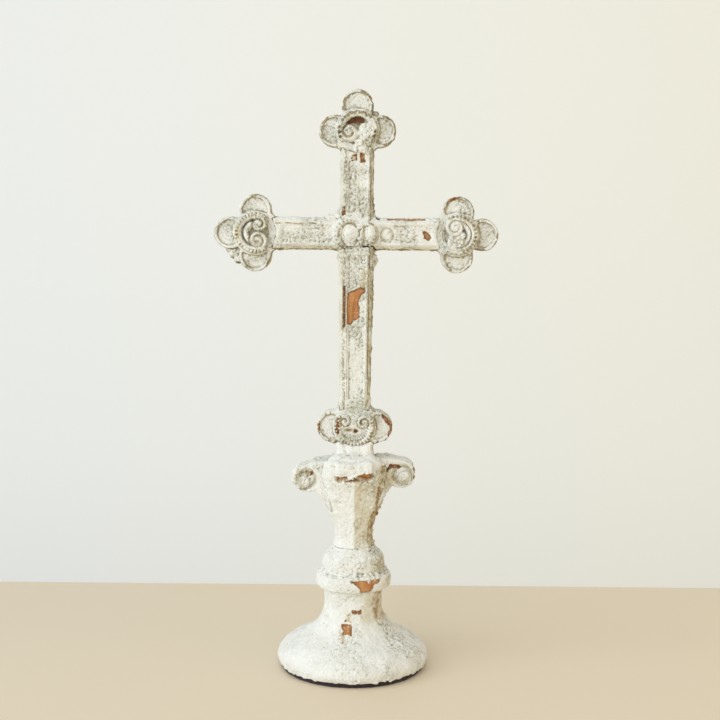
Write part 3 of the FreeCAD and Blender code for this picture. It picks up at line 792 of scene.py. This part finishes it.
def upright_lines(co, normals, drawn, from_side):
    """The dark seam down the left of the upright, and the gutter and edge down its right: painted shade and
    dirt.
    """
    height = co[:, 2] - node_box("upright")[0][2]
    seam_x = np.interp(height, *SEAM) + 0.5 * noise(co, 9.0, 97)
    seam = step(1.5, 0.5, np.abs(co[:, 0] - seam_x)) * (normals[:, 1] < 0)
    seam *= step(-0.30, 0.20, noise(co, 1.7, 96) + 0.4 * noise(co, 8.0, 98))
    gutter = step(0.55, 0.20, np.abs(from_side - 2.0 - 0.35 * noise(drawn, 8.0, 99)))
    gutter = np.maximum(gutter, 0.85 * step(0.45, 0.15, np.abs(from_side)))
    gutter *= step(-0.40, 0.05, noise(drawn, 2.4, 94)) * (height > 8.0)
    return np.maximum(1.1 * seam, 1.42 * gutter)


def crossbar_shade_line(co, normals):
    """The broken dark line of painted shade along the lower front edge of the crossbar."""
    line = step(1.3, 0.6, np.abs(co[:, 2] - node_box("crossbar")[0][2] - LOWER_LINE))
    line *= step(0.08, 0.22, -normals[:, 1]) * (normals[:, 2] < -0.4)
    return 1.25 * line * step(-0.50, 0.10, noise(co, 5.0, 105) + 0.5 * noise(co, 1.8, 106))


def plate_outline(co, normals, worn):
    """The dark outline round the rims of an end plate, mostly where they look right and down, as painted
    shade; worn rims darken too.
    """
    across = np.abs(normals[:, 1])
    outline = step(0.88, 0.62, across) * step(0.02, 0.16, across)
    outline *= step(-0.55, 0.10, noise(co, 5.0, 102) + 0.6 * normals[:, 0] - 0.4 * normals[:, 2])
    return np.maximum(1.40 * outline, 1.26 * worn)


def painted(node, voxel, **settings):
    """A wooden piece under thick crumbly paint, worn at its edges and chipped through in places."""
    look = SimpleNamespace(**{**PLAIN_PAINT, **settings})
    mesh = remeshed(node, voxel, look.lumps)
    co, edges = read(mesh)
    # Carved cuts, and their darkness: painted shade and dirt in the grooves.
    cut, cut_shade_and_dirt = carving(node, co, normals_of(mesh))
    co = relaxed(co + cut, edges, look.soften)
    write(mesh, co)
    normals = relaxed(normals_of(mesh), edges, 2)
    normals /= np.maximum(np.sqrt((normals ** 2).sum(1)), 1e-6)[:, None]
    nx = normals[:, 0]
    upright, plate = node == "upright", node.endswith("_end")

    chip, thin = chip_mask(node, co, normals)
    worn = worn_edges(co, edges, normals, voxel, look)
    chip = np.maximum(chip, (0.22 if plate else 0.4) * worn)
    crack = crack_mask(node, co, normals)
    filling = corner_filling(node, co, normals)
    filled = np.sqrt((filling ** 2).sum(1))
    filling = relaxed(filling, edges, 6) * (1 - chip)[:, None]

    # Patchier paint on faces that look right: rougher there, and through the grime mask darker, as painted
    # shade.
    patchy = step(-0.35, 0.35, noise(co, 17.0, 5) + 0.45 * noise(co, 7.0, 6))
    patchy = np.clip(patchy * (0.85 + 0.45 * nx) + 0.35 * step(0.5, 1.6, filled), 0, 1)
    patchy *= 1 - look.calm * step(0.45, -0.25, nx)
    drawn = co.copy()
    if look.strokes is not None:
        drawn[:, look.strokes] *= 0.28
    # The upright's right arris is raised a little and kept clear of the darkening, a painted highlight; its
    # left faces, toward the light, are darkened less (painted light) and take a faint stain.
    arris = upright * step(0.10, 0.25, nx) * step(0.50, 0.35, nx)
    lit_left_face = upright * step(-0.45, -0.60, nx)
    from_side = from_right_side(co) if upright else None
    side = right_faces(node, co, normals, drawn, look)
    height = relief(node, co, normals, drawn, voxel, look, patchy, side, arris)
    out = height * (1 - chip) - BARE_DEPTH * chip - 1.1 * crack + 0.05 * chip * noise(co, 4.0, 81)
    co = co + filling + normals * out[:, None]
    write(mesh, co)

    # Darkening in hollows, creases, cuts and cracks: painted shade, with some dirt.
    fine_hollow = ((relaxed(co, edges, 4) - co) * normals_of(mesh)).sum(1)
    wide_hollow = ((relaxed(co, edges, 26) - co) * normals_of(mesh)).sum(1)
    shade_and_dirt = step(0.03 * voxel, 0.29 * voxel, fine_hollow) + 0.8 * step(0.05, 0.45, wide_hollow)
    shade_and_dirt = shade_and_dirt * (0.50 + 0.80 * look.grime) * (1 - 0.2 * lit_left_face) * (1 - 0.6 * arris)
    shade_and_dirt = np.maximum(np.clip(shade_and_dirt, 0, 1), cut_shade_and_dirt * (0.85 + 0.4 * noise(co, 3.0, 95)))
    if upright:
        shade_and_dirt = np.maximum(shade_and_dirt, upright_lines(co, normals_of(mesh), drawn, from_side))
    elif node == "crossbar":
        shade_and_dirt = np.maximum(shade_and_dirt, crossbar_shade_line(co, normals))
    elif plate:
        shade_and_dirt = np.maximum(shade_and_dirt, plate_outline(co, normals, worn))
    # The cracks are painted near black, as shade.
    shade_and_dirt = np.maximum(shade_and_dirt, 1.7 * crack)

    broken = noise(co, 6.0, 90) + 0.8 * noise(co, 3.0, 91) + 0.6 * noise(co, 1.6, 93)
    # Yellow-brown stain and painted shade on the faces that look to the right.
    side *= look.side_stain * (0.45 + 0.55 * step(-0.7, 0.5, broken))
    side *= step(-0.35, 0.35, broken + 3.0 * (nx - look.side_from[0]))
    # Painted shade on the faces that look down.
    under = look.under_stain * step(0.55, 0.90, -normals[:, 2]) * step(-0.9, 0.1, broken + 0.3)
    # Stain mask: thin paint, wear and stain, with painted shade on faces looking right or down and in the
    # cuts.
    stain_and_shade = np.maximum(side, under) + 0.4 * step(0.05, 0.5, relaxed(chip, edges, 5)) * (1 - chip)
    for other in (thin, (0.55 if plate else 0.8) * worn, 0.22 * lit_left_face):
        stain_and_shade = np.maximum(stain_and_shade, other)
    attribute(mesh, "chip", chip)
    attribute(mesh, "shade_and_dirt", shade_and_dirt)
    attribute(mesh, "stain_and_shade", np.clip(stain_and_shade + 0.7 * look.grime * step(0.35, 0.9, cut_shade_and_dirt), 0, 1))
    # Dull tone and dark specks: grime, with painted shade added on the faces that look right.
    attribute(mesh, "grime", np.clip(look.grime * (0.4 + 0.9 * patchy) * (1 + 0.6 * side), 0, 1))
    mesh.shade_smooth()

    piece = placed("painted_" + node, mesh)
    mesh.materials.clear()
    mesh.materials.append(PAINTED)
    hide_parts(node)
    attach(piece, "root")


# Materials

def new_material(name):
    material = bpy.data.materials.new(name)
    material.use_nodes = True
    tree = material.node_tree
    return material, tree, tree.nodes["Principled BSDF"]


def noise_node(tree, scale, detail=3.0, stretch=(1, 1, 1), distortion=0.0):
    place = tree.nodes.new("ShaderNodeTexCoord")
    mapping = tree.nodes.new("ShaderNodeMapping")
    mapping.inputs["Scale"].default_value = stretch
    tree.links.new(place.outputs["Object"], mapping.inputs["Vector"])
    node = tree.nodes.new("ShaderNodeTexNoise")
    node.inputs["Scale"].default_value = scale
    node.inputs["Detail"].default_value = detail
    node.inputs["Distortion"].default_value = distortion
    tree.links.new(mapping.outputs["Vector"], node.inputs["Vector"])
    return node.outputs["Fac"]


def ramp(tree, source, stops):
    node = tree.nodes.new("ShaderNodeValToRGB")
    elements = node.color_ramp.elements
    while len(elements) < len(stops):
        elements.new(0.5)
    for element, (place, colour) in zip(elements, stops):
        element.position = place
        element.color = colour if len(colour) == 4 else (*colour, 1.0)
    tree.links.new(source, node.inputs["Fac"])
    return node.outputs["Color"]


def mixed(tree, share, a, b):
    node = tree.nodes.new("ShaderNodeMix")
    node.data_type = "RGBA"
    tree.links.new(share, node.inputs["Factor"])
    for socket, value in ((node.inputs["A"], a), (node.inputs["B"], b)):
        if isinstance(value, tuple):
            socket.default_value = value
        else:
            tree.links.new(value, socket)
    return node.outputs["Result"]


def worked(tree, operation, a, b):
    node = tree.nodes.new("ShaderNodeMath")
    node.operation = operation
    for socket, value in zip(node.inputs, (a, b)):
        if isinstance(value, (int, float)):
            socket.default_value = value
        else:
            tree.links.new(value, socket)
    return node.outputs[0]


def times(tree, a, b):
    return worked(tree, "MULTIPLY", a, b)


def from_mesh(tree, name):
    node = tree.nodes.new("ShaderNodeAttribute")
    node.attribute_name = name
    return node.outputs["Fac"]


def bumped(tree, shader, height, strength, distance):
    node = tree.nodes.new("ShaderNodeBump")
    node.inputs["Strength"].default_value = strength
    node.inputs["Distance"].default_value = distance
    tree.links.new(height, node.inputs["Height"])
    tree.links.new(node.outputs["Normal"], shader.inputs["Normal"])


def painted_wood():
    """Chalky cream paint, darkened in its hollows with dirt and painted shade, over smooth orange-brown wood.
    """
    material, tree, shader = new_material("chipped_cream_paint")
    chip, shade_and_dirt, stain_and_shade, grime = (from_mesh(tree, name) for name in ("chip", "shade_and_dirt", "stain_and_shade", "grime"))
    cream = ramp(tree, noise_node(tree, 90, 4), [
        (0.30, (0.80, 0.805, 0.765)), (0.50, (0.85, 0.862, 0.835)), (0.70, (0.88, 0.895, 0.878))])
    dull = ramp(tree, noise_node(tree, 130, 4), [
        (0.30, (0.61, 0.625, 0.525)), (0.52, (0.76, 0.772, 0.70)), (0.72, (0.85, 0.865, 0.82))])
    # The dull greener tone follows the grime mask, which holds grime and painted shade.
    cream = mixed(tree, grime, cream, dull)
    specks = ramp(tree, noise_node(tree, 900, 4, (1, 1, 1), 0.8), [(0.54, (0, 0, 0)), (0.66, (1, 1, 1))])
    share = times(tree, specks, times(tree, grime, 0.95))
    cream = mixed(tree, share, cream, (0.40, 0.385, 0.28, 1.0))
    # Darker tone in the hollows, creases and cuts: dirt and painted shade.
    dirt_and_shade = ramp(tree, noise_node(tree, 240, 3), [(0.35, (0.215, 0.18, 0.105)), (0.65, (0.42, 0.39, 0.275))])
    paint = mixed(tree, times(tree, shade_and_dirt, 0.85), cream, dirt_and_shade)
    light = ramp(tree, noise_node(tree, 1100, 3), [(0.56, (0, 0, 0)), (0.68, (1, 1, 1))])
    paint = mixed(tree, times(tree, light, 0.55), paint, (0.88, 0.90, 0.87, 1.0))
    uneven = times(tree, worked(tree, "SUBTRACT", noise_node(tree, 420, 4), 0.5), 2.4)
    # Khaki to brown for the stain mask, which also carries painted shade.
    thin = ramp(tree, worked(tree, "ADD", stain_and_shade, uneven), [
        (0.20, (0.66, 0.605, 0.375)), (0.50, (0.56, 0.475, 0.245)), (0.80, (0.44, 0.325, 0.15)),
        (1.00, (0.32, 0.175, 0.075))])
    paint = mixed(tree, stain_and_shade, paint, thin)
    # Near black where the darkening runs past full, in cracks, pits and deep cuts: painted shade.
    deep_shade = times(tree, worked(tree, "SUBTRACT", shade_and_dirt, 1.0), 1.4)
    paint = mixed(tree, deep_shade, paint, (0.075, 0.045, 0.028, 1.0))
    wood = ramp(tree, noise_node(tree, 70, 4, (3.2, 3.2, 0.5), 0.6), [
        (0.28, (0.27, 0.095, 0.028)), (0.50, (0.45, 0.19, 0.055)), (0.72, (0.60, 0.30, 0.11))])
    # Bare wood darkened in hollows and at the edges of chips: painted shade and dirt.
    wood = mixed(tree, times(tree, shade_and_dirt, 0.68), wood, (0.100, 0.036, 0.016, 1.0))
    crumbs = ramp(tree, noise_node(tree, 700, 2), [(0.56, (0, 0, 0)), (0.66, (1, 1, 1))])
    wood = mixed(tree, times(tree, crumbs, 0.22), wood, cream)
    tree.links.new(mixed(tree, chip, paint, wood), shader.inputs["Base Color"])
    matt = worked(tree, "SUBTRACT", 0.90, times(tree, chip, 0.42))
    matt = worked(tree, "ADD", matt, times(tree, noise_node(tree, 300, 2), 0.10))
    tree.links.new(matt, shader.inputs["Roughness"])
    coarse = noise_node(tree, 800, 5, (1, 1, 1), 0.5)
    coarse = times(tree, coarse, worked(tree, "ADD", grime, 0.50))
    grain = times(tree, coarse, worked(tree, "SUBTRACT", 1.0, chip))
    bumped(tree, shader, grain, 0.9, 0.0014)
    shader.inputs["Specular IOR Level"].default_value = 0.35
    return material


def felt():
    material, tree, shader = new_material("black_felt")
    colour = ramp(tree, noise_node(tree, 1600, 4), [
        (0.3, (0.010, 0.006, 0.007)), (0.7, (0.035, 0.026, 0.028))])
    tree.links.new(colour, shader.inputs["Base Color"])
    shader.inputs["Roughness"].default_value = 0.95
    shader.inputs["Sheen Weight"].default_value = 0.15
    bumped(tree, shader, noise_node(tree, 2200, 4), 0.7, 0.0005)
    return material


def plain_wood():
    material, tree, shader = new_material("dowel_wood")
    colour = ramp(tree, noise_node(tree, 160, 4, (1, 1, 0.15), 0.5), [
        (0.3, (0.32, 0.19, 0.09)), (0.7, (0.52, 0.36, 0.20))])
    tree.links.new(colour, shader.inputs["Base Color"])
    shader.inputs["Roughness"].default_value = 0.6
    bumped(tree, shader, noise_node(tree, 400, 3, (1, 1, 0.2)), 0.3, 0.0003)
    return material


def metal(name, dark, light):
    material, tree, shader = new_material(name)
    colour = ramp(tree, noise_node(tree, 240, 4), [(0.3, dark), (0.7, light)])
    tree.links.new(colour, shader.inputs["Base Color"])
    shader.inputs["Metallic"].default_value = 1.0
    rough = worked(tree, "ADD", 0.28, times(tree, noise_node(tree, 700, 2), 0.2))
    tree.links.new(rough, shader.inputs["Roughness"])
    bumped(tree, shader, noise_node(tree, 1500, 3, (1, 1, 0.1)), 0.2, 0.0002)
    return material


PAINTED = painted_wood()
FELT = felt()
DOWEL = plain_wood()
STEEL = metal("plated_steel", (0.42, 0.42, 0.43), (0.62, 0.62, 0.60))
BRASS = metal("plain_brass", (0.60, 0.42, 0.17), (0.78, 0.60, 0.30))


# The pieces

CREST_BLOB = (
    [(6.2, 1.2, 8.4, 5.4, 2.8, 4.4), (5.6, 1.2, 3.2, 6.0, 2.8, 5.0), (3.8, 2.0, -2.6, 5.8, 2.6, 4.6)]
    + clump(6.2, -0.6, 8.6, (4.6, 0.4, 3.6), 16, (0.8, 1.5), 3)
    + clump(5.6, -0.6, 3.2, (5.4, 0.4, 4.4), 22, (0.8, 1.5), 4)
    + clump(3.8, 0.4, -2.4, (5.0, 0.4, 3.8), 18, (0.7, 1.4), 5))
CREST_LUMPS = {
    "top": CREST_BLOB,
    "lower": [(0.0, 2.0, 14.0, 9.6, 3.4, 9.6), (0.0, 1.0, 11.4, 10.4, 2.1, 9.2)],
    "right": [(-3.0, 0.8, 8.0, 5.6, 2.8, 5.0), (-5.0, 0.9, 11.6, 3.4, 2.4, 4.0)]
             + clump(-3.2, -1.2, 9.4, (5.0, 0.5, 5.2), 52, (0.7, 1.4), 41),
}
END_LUMPS = {
    "left": [(-11.2, 0, 15.4, 3.4, 4.6, 3.4), (-8.6, 0, 12.2, 4.0, 4.8, 4.0), (-5.4, 0, 8.2, 3.4, 4.6, 3.4),
             (-4.6, 0, 14.6, 4.0, 4.0, 4.0)]
            + clump(-9.2, -1.0, 12.4, (3.2, 3.0, 4.0), 16, (1.0, 1.9), 6),
    "top": clump(11.6, -1.0, 27.0, (1.6, 2.4, 1.6), 8, (1.2, 2.0), 9),
}
painted("foot", 0.55, rough=0.82, grime=0.29, rim_wear=0.05, side_stain=0.90, side_from=(0.16, 0.60),
        side_low=15.0, calm=0.45, dents=0.42, soften=2,
        lumps=crumb_ring(49.2, 0.9, 84, (0.7, 1.9), 11))
painted("collar_ring", 0.5, rough=0.50, grime=0.34, rim_wear=0.10, side_stain=0.6, side_from=(0.60, 0.80),
        dents=0.22)
painted("knop", 0.5, rough=1.25, grime=0.44, rim_wear=0.05, side_stain=0.7, side_from=(0.50, 0.72), calm=0.7,
        dents=0.35,
        lumps=crumb_ring(21.8, 1.2, 46, (1.0, 2.6), 12) + crumb_ring(20.9, 4.2, 34, (0.8, 1.9), 13))
painted("stem", 0.5, rough=1.05, grime=0.31, rim_wear=0.12, side_stain=1.0, side_from=(0.14, 0.62),
        calm=0.75, dents=0.20, strokes=2, soften=6)
painted("neck", 0.5, rough=0.45, grime=0.16, rim_wear=0.05, side_stain=0.85, side_from=(0.55, 0.75),
        strokes=2, soften=20,
        lumps=[(0.0, -7.6, 9.6, 9.0, 3.0, 3.4), (-7.0, -6.6, 10.0, 5.0, 3.6, 3.0),
               (7.0, -6.6, 10.0, 5.0, 3.6, 3.0), (-4.0, -7.3, 9.6, 5.0, 3.2, 4.4),
               (4.0, -7.3, 9.6, 5.0, 3.2, 4.4), (0.0, 7.6, 9.6, 9.0, 3.0, 3.4)]
        + clump(0.0, -10.0, 9.0, (9.0, 0.6, 3.0), 14, (0.8, 1.6), 22))
roll_x = ROLL_MIDDLE - 0.5 * float(np.ptp(node_box("volute_left"), axis=0)[0])
painted("volute_left", 0.45, rough=0.75, grime=0.35, rim_wear=0.25, soften=5,
        lumps=clump(-9.4, -7.2, 24.0, (2.6, 1.4, 6.0), 34, (0.9, 1.8), 31)
        + clump(-4.0, -7.2, 28.0, (4.0, 1.2, 2.0), 12, (0.8, 1.5), 32)
        + roll_crumbs(roll_x, -5.6, ROLL_HEIGHT, ROLL_MIDDLE, (125, 235), 22, (0.9, 1.6), 33))
painted("volute_right", 0.45, rough=0.65, grime=0.50, rim_wear=0.45, side_stain=0.8, side_from=(0.55, 0.75),
        soften=5)
painted("lip_front", 0.4, rough=0.5, grime=0.16, rim_wear=0.25, strokes=2, soften=12,
        lumps=[(-11.0, 3.6, 7.0, 6.0, 8.0, 7.0), (11.0, 3.6, 7.0, 6.0, 8.0, 7.0),
               (0.0, 2.2, 11.4, 12.0, 6.4, 3.0)])
painted("lip_rear", 0.4, rough=0.7, grime=0.28, rim_wear=0.2, soften=8)
painted("upright", 0.45, rough=0.95, grime=0.72, rim_wear=0.18, side_stain=0.78,
        side_from=(0.42, 0.58), side_rough=0.0, strokes=2, soften=14,
        lumps=clump(9.8, -4.0, 101.0, (1.8, 3.2, 4.6), 26, (0.9, 1.9), 14))
painted("crossbar", 0.45, rough=0.72, grime=0.60, rim_wear=0.12, under_stain=0.65,
        strokes=0, soften=14, lumps=clump(-15.6, -3.0, 25.2, (3.6, 4.0, 1.6), 30, (0.8, 1.7), 15)
        + clump(-24.0, -3.0, 24.4, (6.0, 4.2, 0.7), 26, (0.7, 1.4), 16)
        + clump(20.2, -8.4, 13.3, (2.2, 0.3, 2.4), 14, (0.8, 1.5), 17)
        + clump(36.6, -8.6, 13.6, (1.0, 0.2, 1.0), 5, (0.9, 1.4), 18))
for end in ENDS:
    painted(end + "_end", 0.45, rough=0.62, grime=0.62, rim_wear=0.20 if end == "left" else 0.36,
            side_stain=0.85, under_stain=0.6, edge_wide=2.1, soften=4, lumps=END_LUMPS.get(end, ()))
    extra = scroll_lumps(end) + CREST_LUMPS.get(end, [])
    painted("crest_" + end + "_front", 0.32, rough=0.95 if end == "top" else 0.65, grime=0.72, rim_wear=0.30,
            side_stain=0.8, side_from=(0.40, 0.62), under_stain=0.4, soften=1, lumps=extra)
    painted("crest_" + end + "_rear", 0.36, rough=0.55, grime=0.70, rim_wear=0.25, soften=1)

BOSS_LUMPS = (
    [(-4.5, 1.0, 8.8, 5.4, 3.3, 7.5), (9.1, 1.1, 9.0, 3.6, 3.0, 7.0)]
    + clump(2.8, 0.0, 14.4, (2.4, 0.5, 1.6), 12, (0.8, 1.5), 19)
    + clump(-10.0, 0.6, 9.0, (1.2, 0.4, 5.4), 16, (0.7, 1.4), 20)
    + clump(3.4, 0.2, 5.0, (1.6, 0.4, 3.4), 12, (0.7, 1.4), 21))
painted("boss_front", 0.32, rough=0.7, grime=0.70, rim_wear=0.15, soften=2, lumps=BOSS_LUMPS)
painted("boss_rear", 0.36, rough=0.70, grime=0.70, rim_wear=0.2, soften=1)


def felt_pad():
    """The pad: a flat disc with a fuzzy, slightly uneven cut edge."""
    low, high = node_box("felt_pad")
    radius = 0.5 * (high[0] - low[0])
    profile = [(0.0, low[2]), (0.5 * radius, low[2]), (radius - 0.5, low[2]), (radius - 0.05, low[2] + 0.5),
               (radius, 0.5 * (low[2] + high[2])), (radius - 0.1, high[2] - 0.4), (radius - 0.5, high[2]),
               (0.5 * radius, high[2]), (0.0, high[2])]
    sides = 240
    shape = bmesh.new()
    rings = []
    for r, z in profile:
        if r == 0.0:
            rings.append([shape.verts.new((0, 0, z * MM))])
            continue
        ring = []
        for k in range(sides):
            angle = 2 * math.pi * k / sides
            uneven = 0.16 * math.sin(23 * angle + z) + 0.12 * math.sin(57 * angle + 2 * z)
            out = r if r < radius - 1 else r + uneven
            ring.append(shape.verts.new((out * math.cos(angle) * MM, out * math.sin(angle) * MM, z * MM)))
        rings.append(ring)
    for first, second in zip(rings, rings[1:]):
        for k in range(sides):
            n = (k + 1) % sides
            corners = [first[k % len(first)], first[n % len(first)],
                       second[n % len(second)], second[k % len(second)]]
            shape.faces.new(list(dict.fromkeys(corners)))
    bmesh.ops.recalc_face_normals(shape, faces=shape.faces)
    mesh = mesh_of(shape, "pad")
    mesh.materials.append(FELT)
    mesh.shade_smooth()
    pad = placed("felt_underpad", mesh)
    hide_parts("felt_pad")
    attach(pad, "root")


felt_pad()

for node, material in (("tie_rod", STEEL), ("nut", STEEL), ("washer", STEEL), ("insert", BRASS),
                       ("dowel_top", DOWEL), ("dowel_left", DOWEL), ("dowel_right", DOWEL)):
    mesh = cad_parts[node].data
    mesh.materials.clear()
    mesh.materials.append(material)


# Table, backdrop, light and camera

def stage_box(name, low, high, colours, roughness, glow=0.0):
    """A plain box of the stage, its colour going evenly from the first on the left to the second."""
    shape = bmesh.new()
    middle = [(a + b) / 2 for a, b in zip(low, high)]
    size = [b - a for a, b in zip(low, high)]
    place = Matrix.Translation(middle) @ Matrix.Diagonal((*size, 1.0))
    bmesh.ops.create_cube(shape, size=1.0, matrix=place)
    mesh = mesh_of(shape, name)
    item = placed(name, mesh)
    material, tree, shader = new_material(name + "_surface")
    where = tree.nodes.new("ShaderNodeTexCoord")
    parts = tree.nodes.new("ShaderNodeSeparateXYZ")
    tree.links.new(where.outputs["Object"], parts.inputs[0])
    tone = ramp(tree, worked(tree, "ADD", times(tree, parts.outputs["X"], 0.8), 0.5),
                [(0.0, colours[0]), (1.0, colours[1])])
    tree.links.new(tone, shader.inputs["Base Color"])
    shader.inputs["Roughness"].default_value = roughness
    if glow:
        tree.links.new(tone, shader.inputs["Emission Color"])
        shader.inputs["Emission Strength"].default_value = glow
    mesh.materials.append(material)


TABLE_BACK = 0.194
stage_box("table", (-1.6, -1.4, -0.04), (1.6, TABLE_BACK, 0.0),
          ((0.70, 0.615, 0.485), (0.86, 0.745, 0.565)), 0.6)
# The wall glows a little, painted light that keeps it bright from every side.
stage_box("wall", (-3.0, 1.6, -1.5), (3.0, 1.62, 2.5),
          ((0.86, 0.885, 0.89), (0.90, 0.90, 0.83)), 0.9, glow=0.14)


def area_light(name, place, target, size, power, colour):
    light = bpy.data.lights.new(name, "AREA")
    light.shape = "RECTANGLE"
    light.size, light.size_y = size
    light.energy = power
    light.color = colour
    item = placed(name, light)
    item.location = place
    item.rotation_euler = (Vector(target) - Vector(place)).to_track_quat("-Z", "Y").to_euler()


area_light("window_left", (-1.5, -0.75, 0.75), (0, 0, 0.2), (1.1, 1.1), 12.3, (0.865, 0.94, 1.0))
area_light("soft_front", (-0.9, -2.0, 0.9), (0, 0, 0.2), (1.4, 1.4), 16.0, (0.965, 0.985, 1.0))
area_light("warm_right", (1.6, -1.0, 0.5), (0, 0, 0.2), (1.4, 1.0), 6.0, (1.0, 0.79, 0.47))
area_light("soft_top", (-0.25, -0.15, 1.55), (0, 0, 0.2), (0.9, 0.9), 1.9, (0.99, 1.0, 1.0))

world = bpy.data.worlds.new("pale")
world.use_nodes = True
world.node_tree.nodes["Background"].inputs["Color"].default_value = (0.96, 0.94, 0.875, 1.0)
world.node_tree.nodes["Background"].inputs["Strength"].default_value = 0.57
bpy.context.scene.world = world
bpy.context.scene.view_settings.view_transform = "Standard"

# The camera stands off by these shares of the object's height, and turns by these angles.

CAMERA_BACK, CAMERA_UP = 2.151, 0.7644
PITCH, YAW, ROLL = math.radians(-5.94), math.radians(-0.22), math.radians(0.58)
height = cad_box[1].z - cad_box[0].z
camera_data = bpy.data.cameras.new("camera")
camera_data.lens = 62.5
camera_data.sensor_width = 36.0
camera = placed("camera", camera_data)
camera.matrix_world = (
    Matrix.Translation((0.0, -CAMERA_BACK * height, CAMERA_UP * height))
    @ Matrix.Rotation(YAW, 4, "Z")
    @ Matrix.Rotation(math.radians(90) + PITCH, 4, "X")
    @ Matrix.Rotation(ROLL, 4, "Z"))
bpy.context.scene.camera = camera
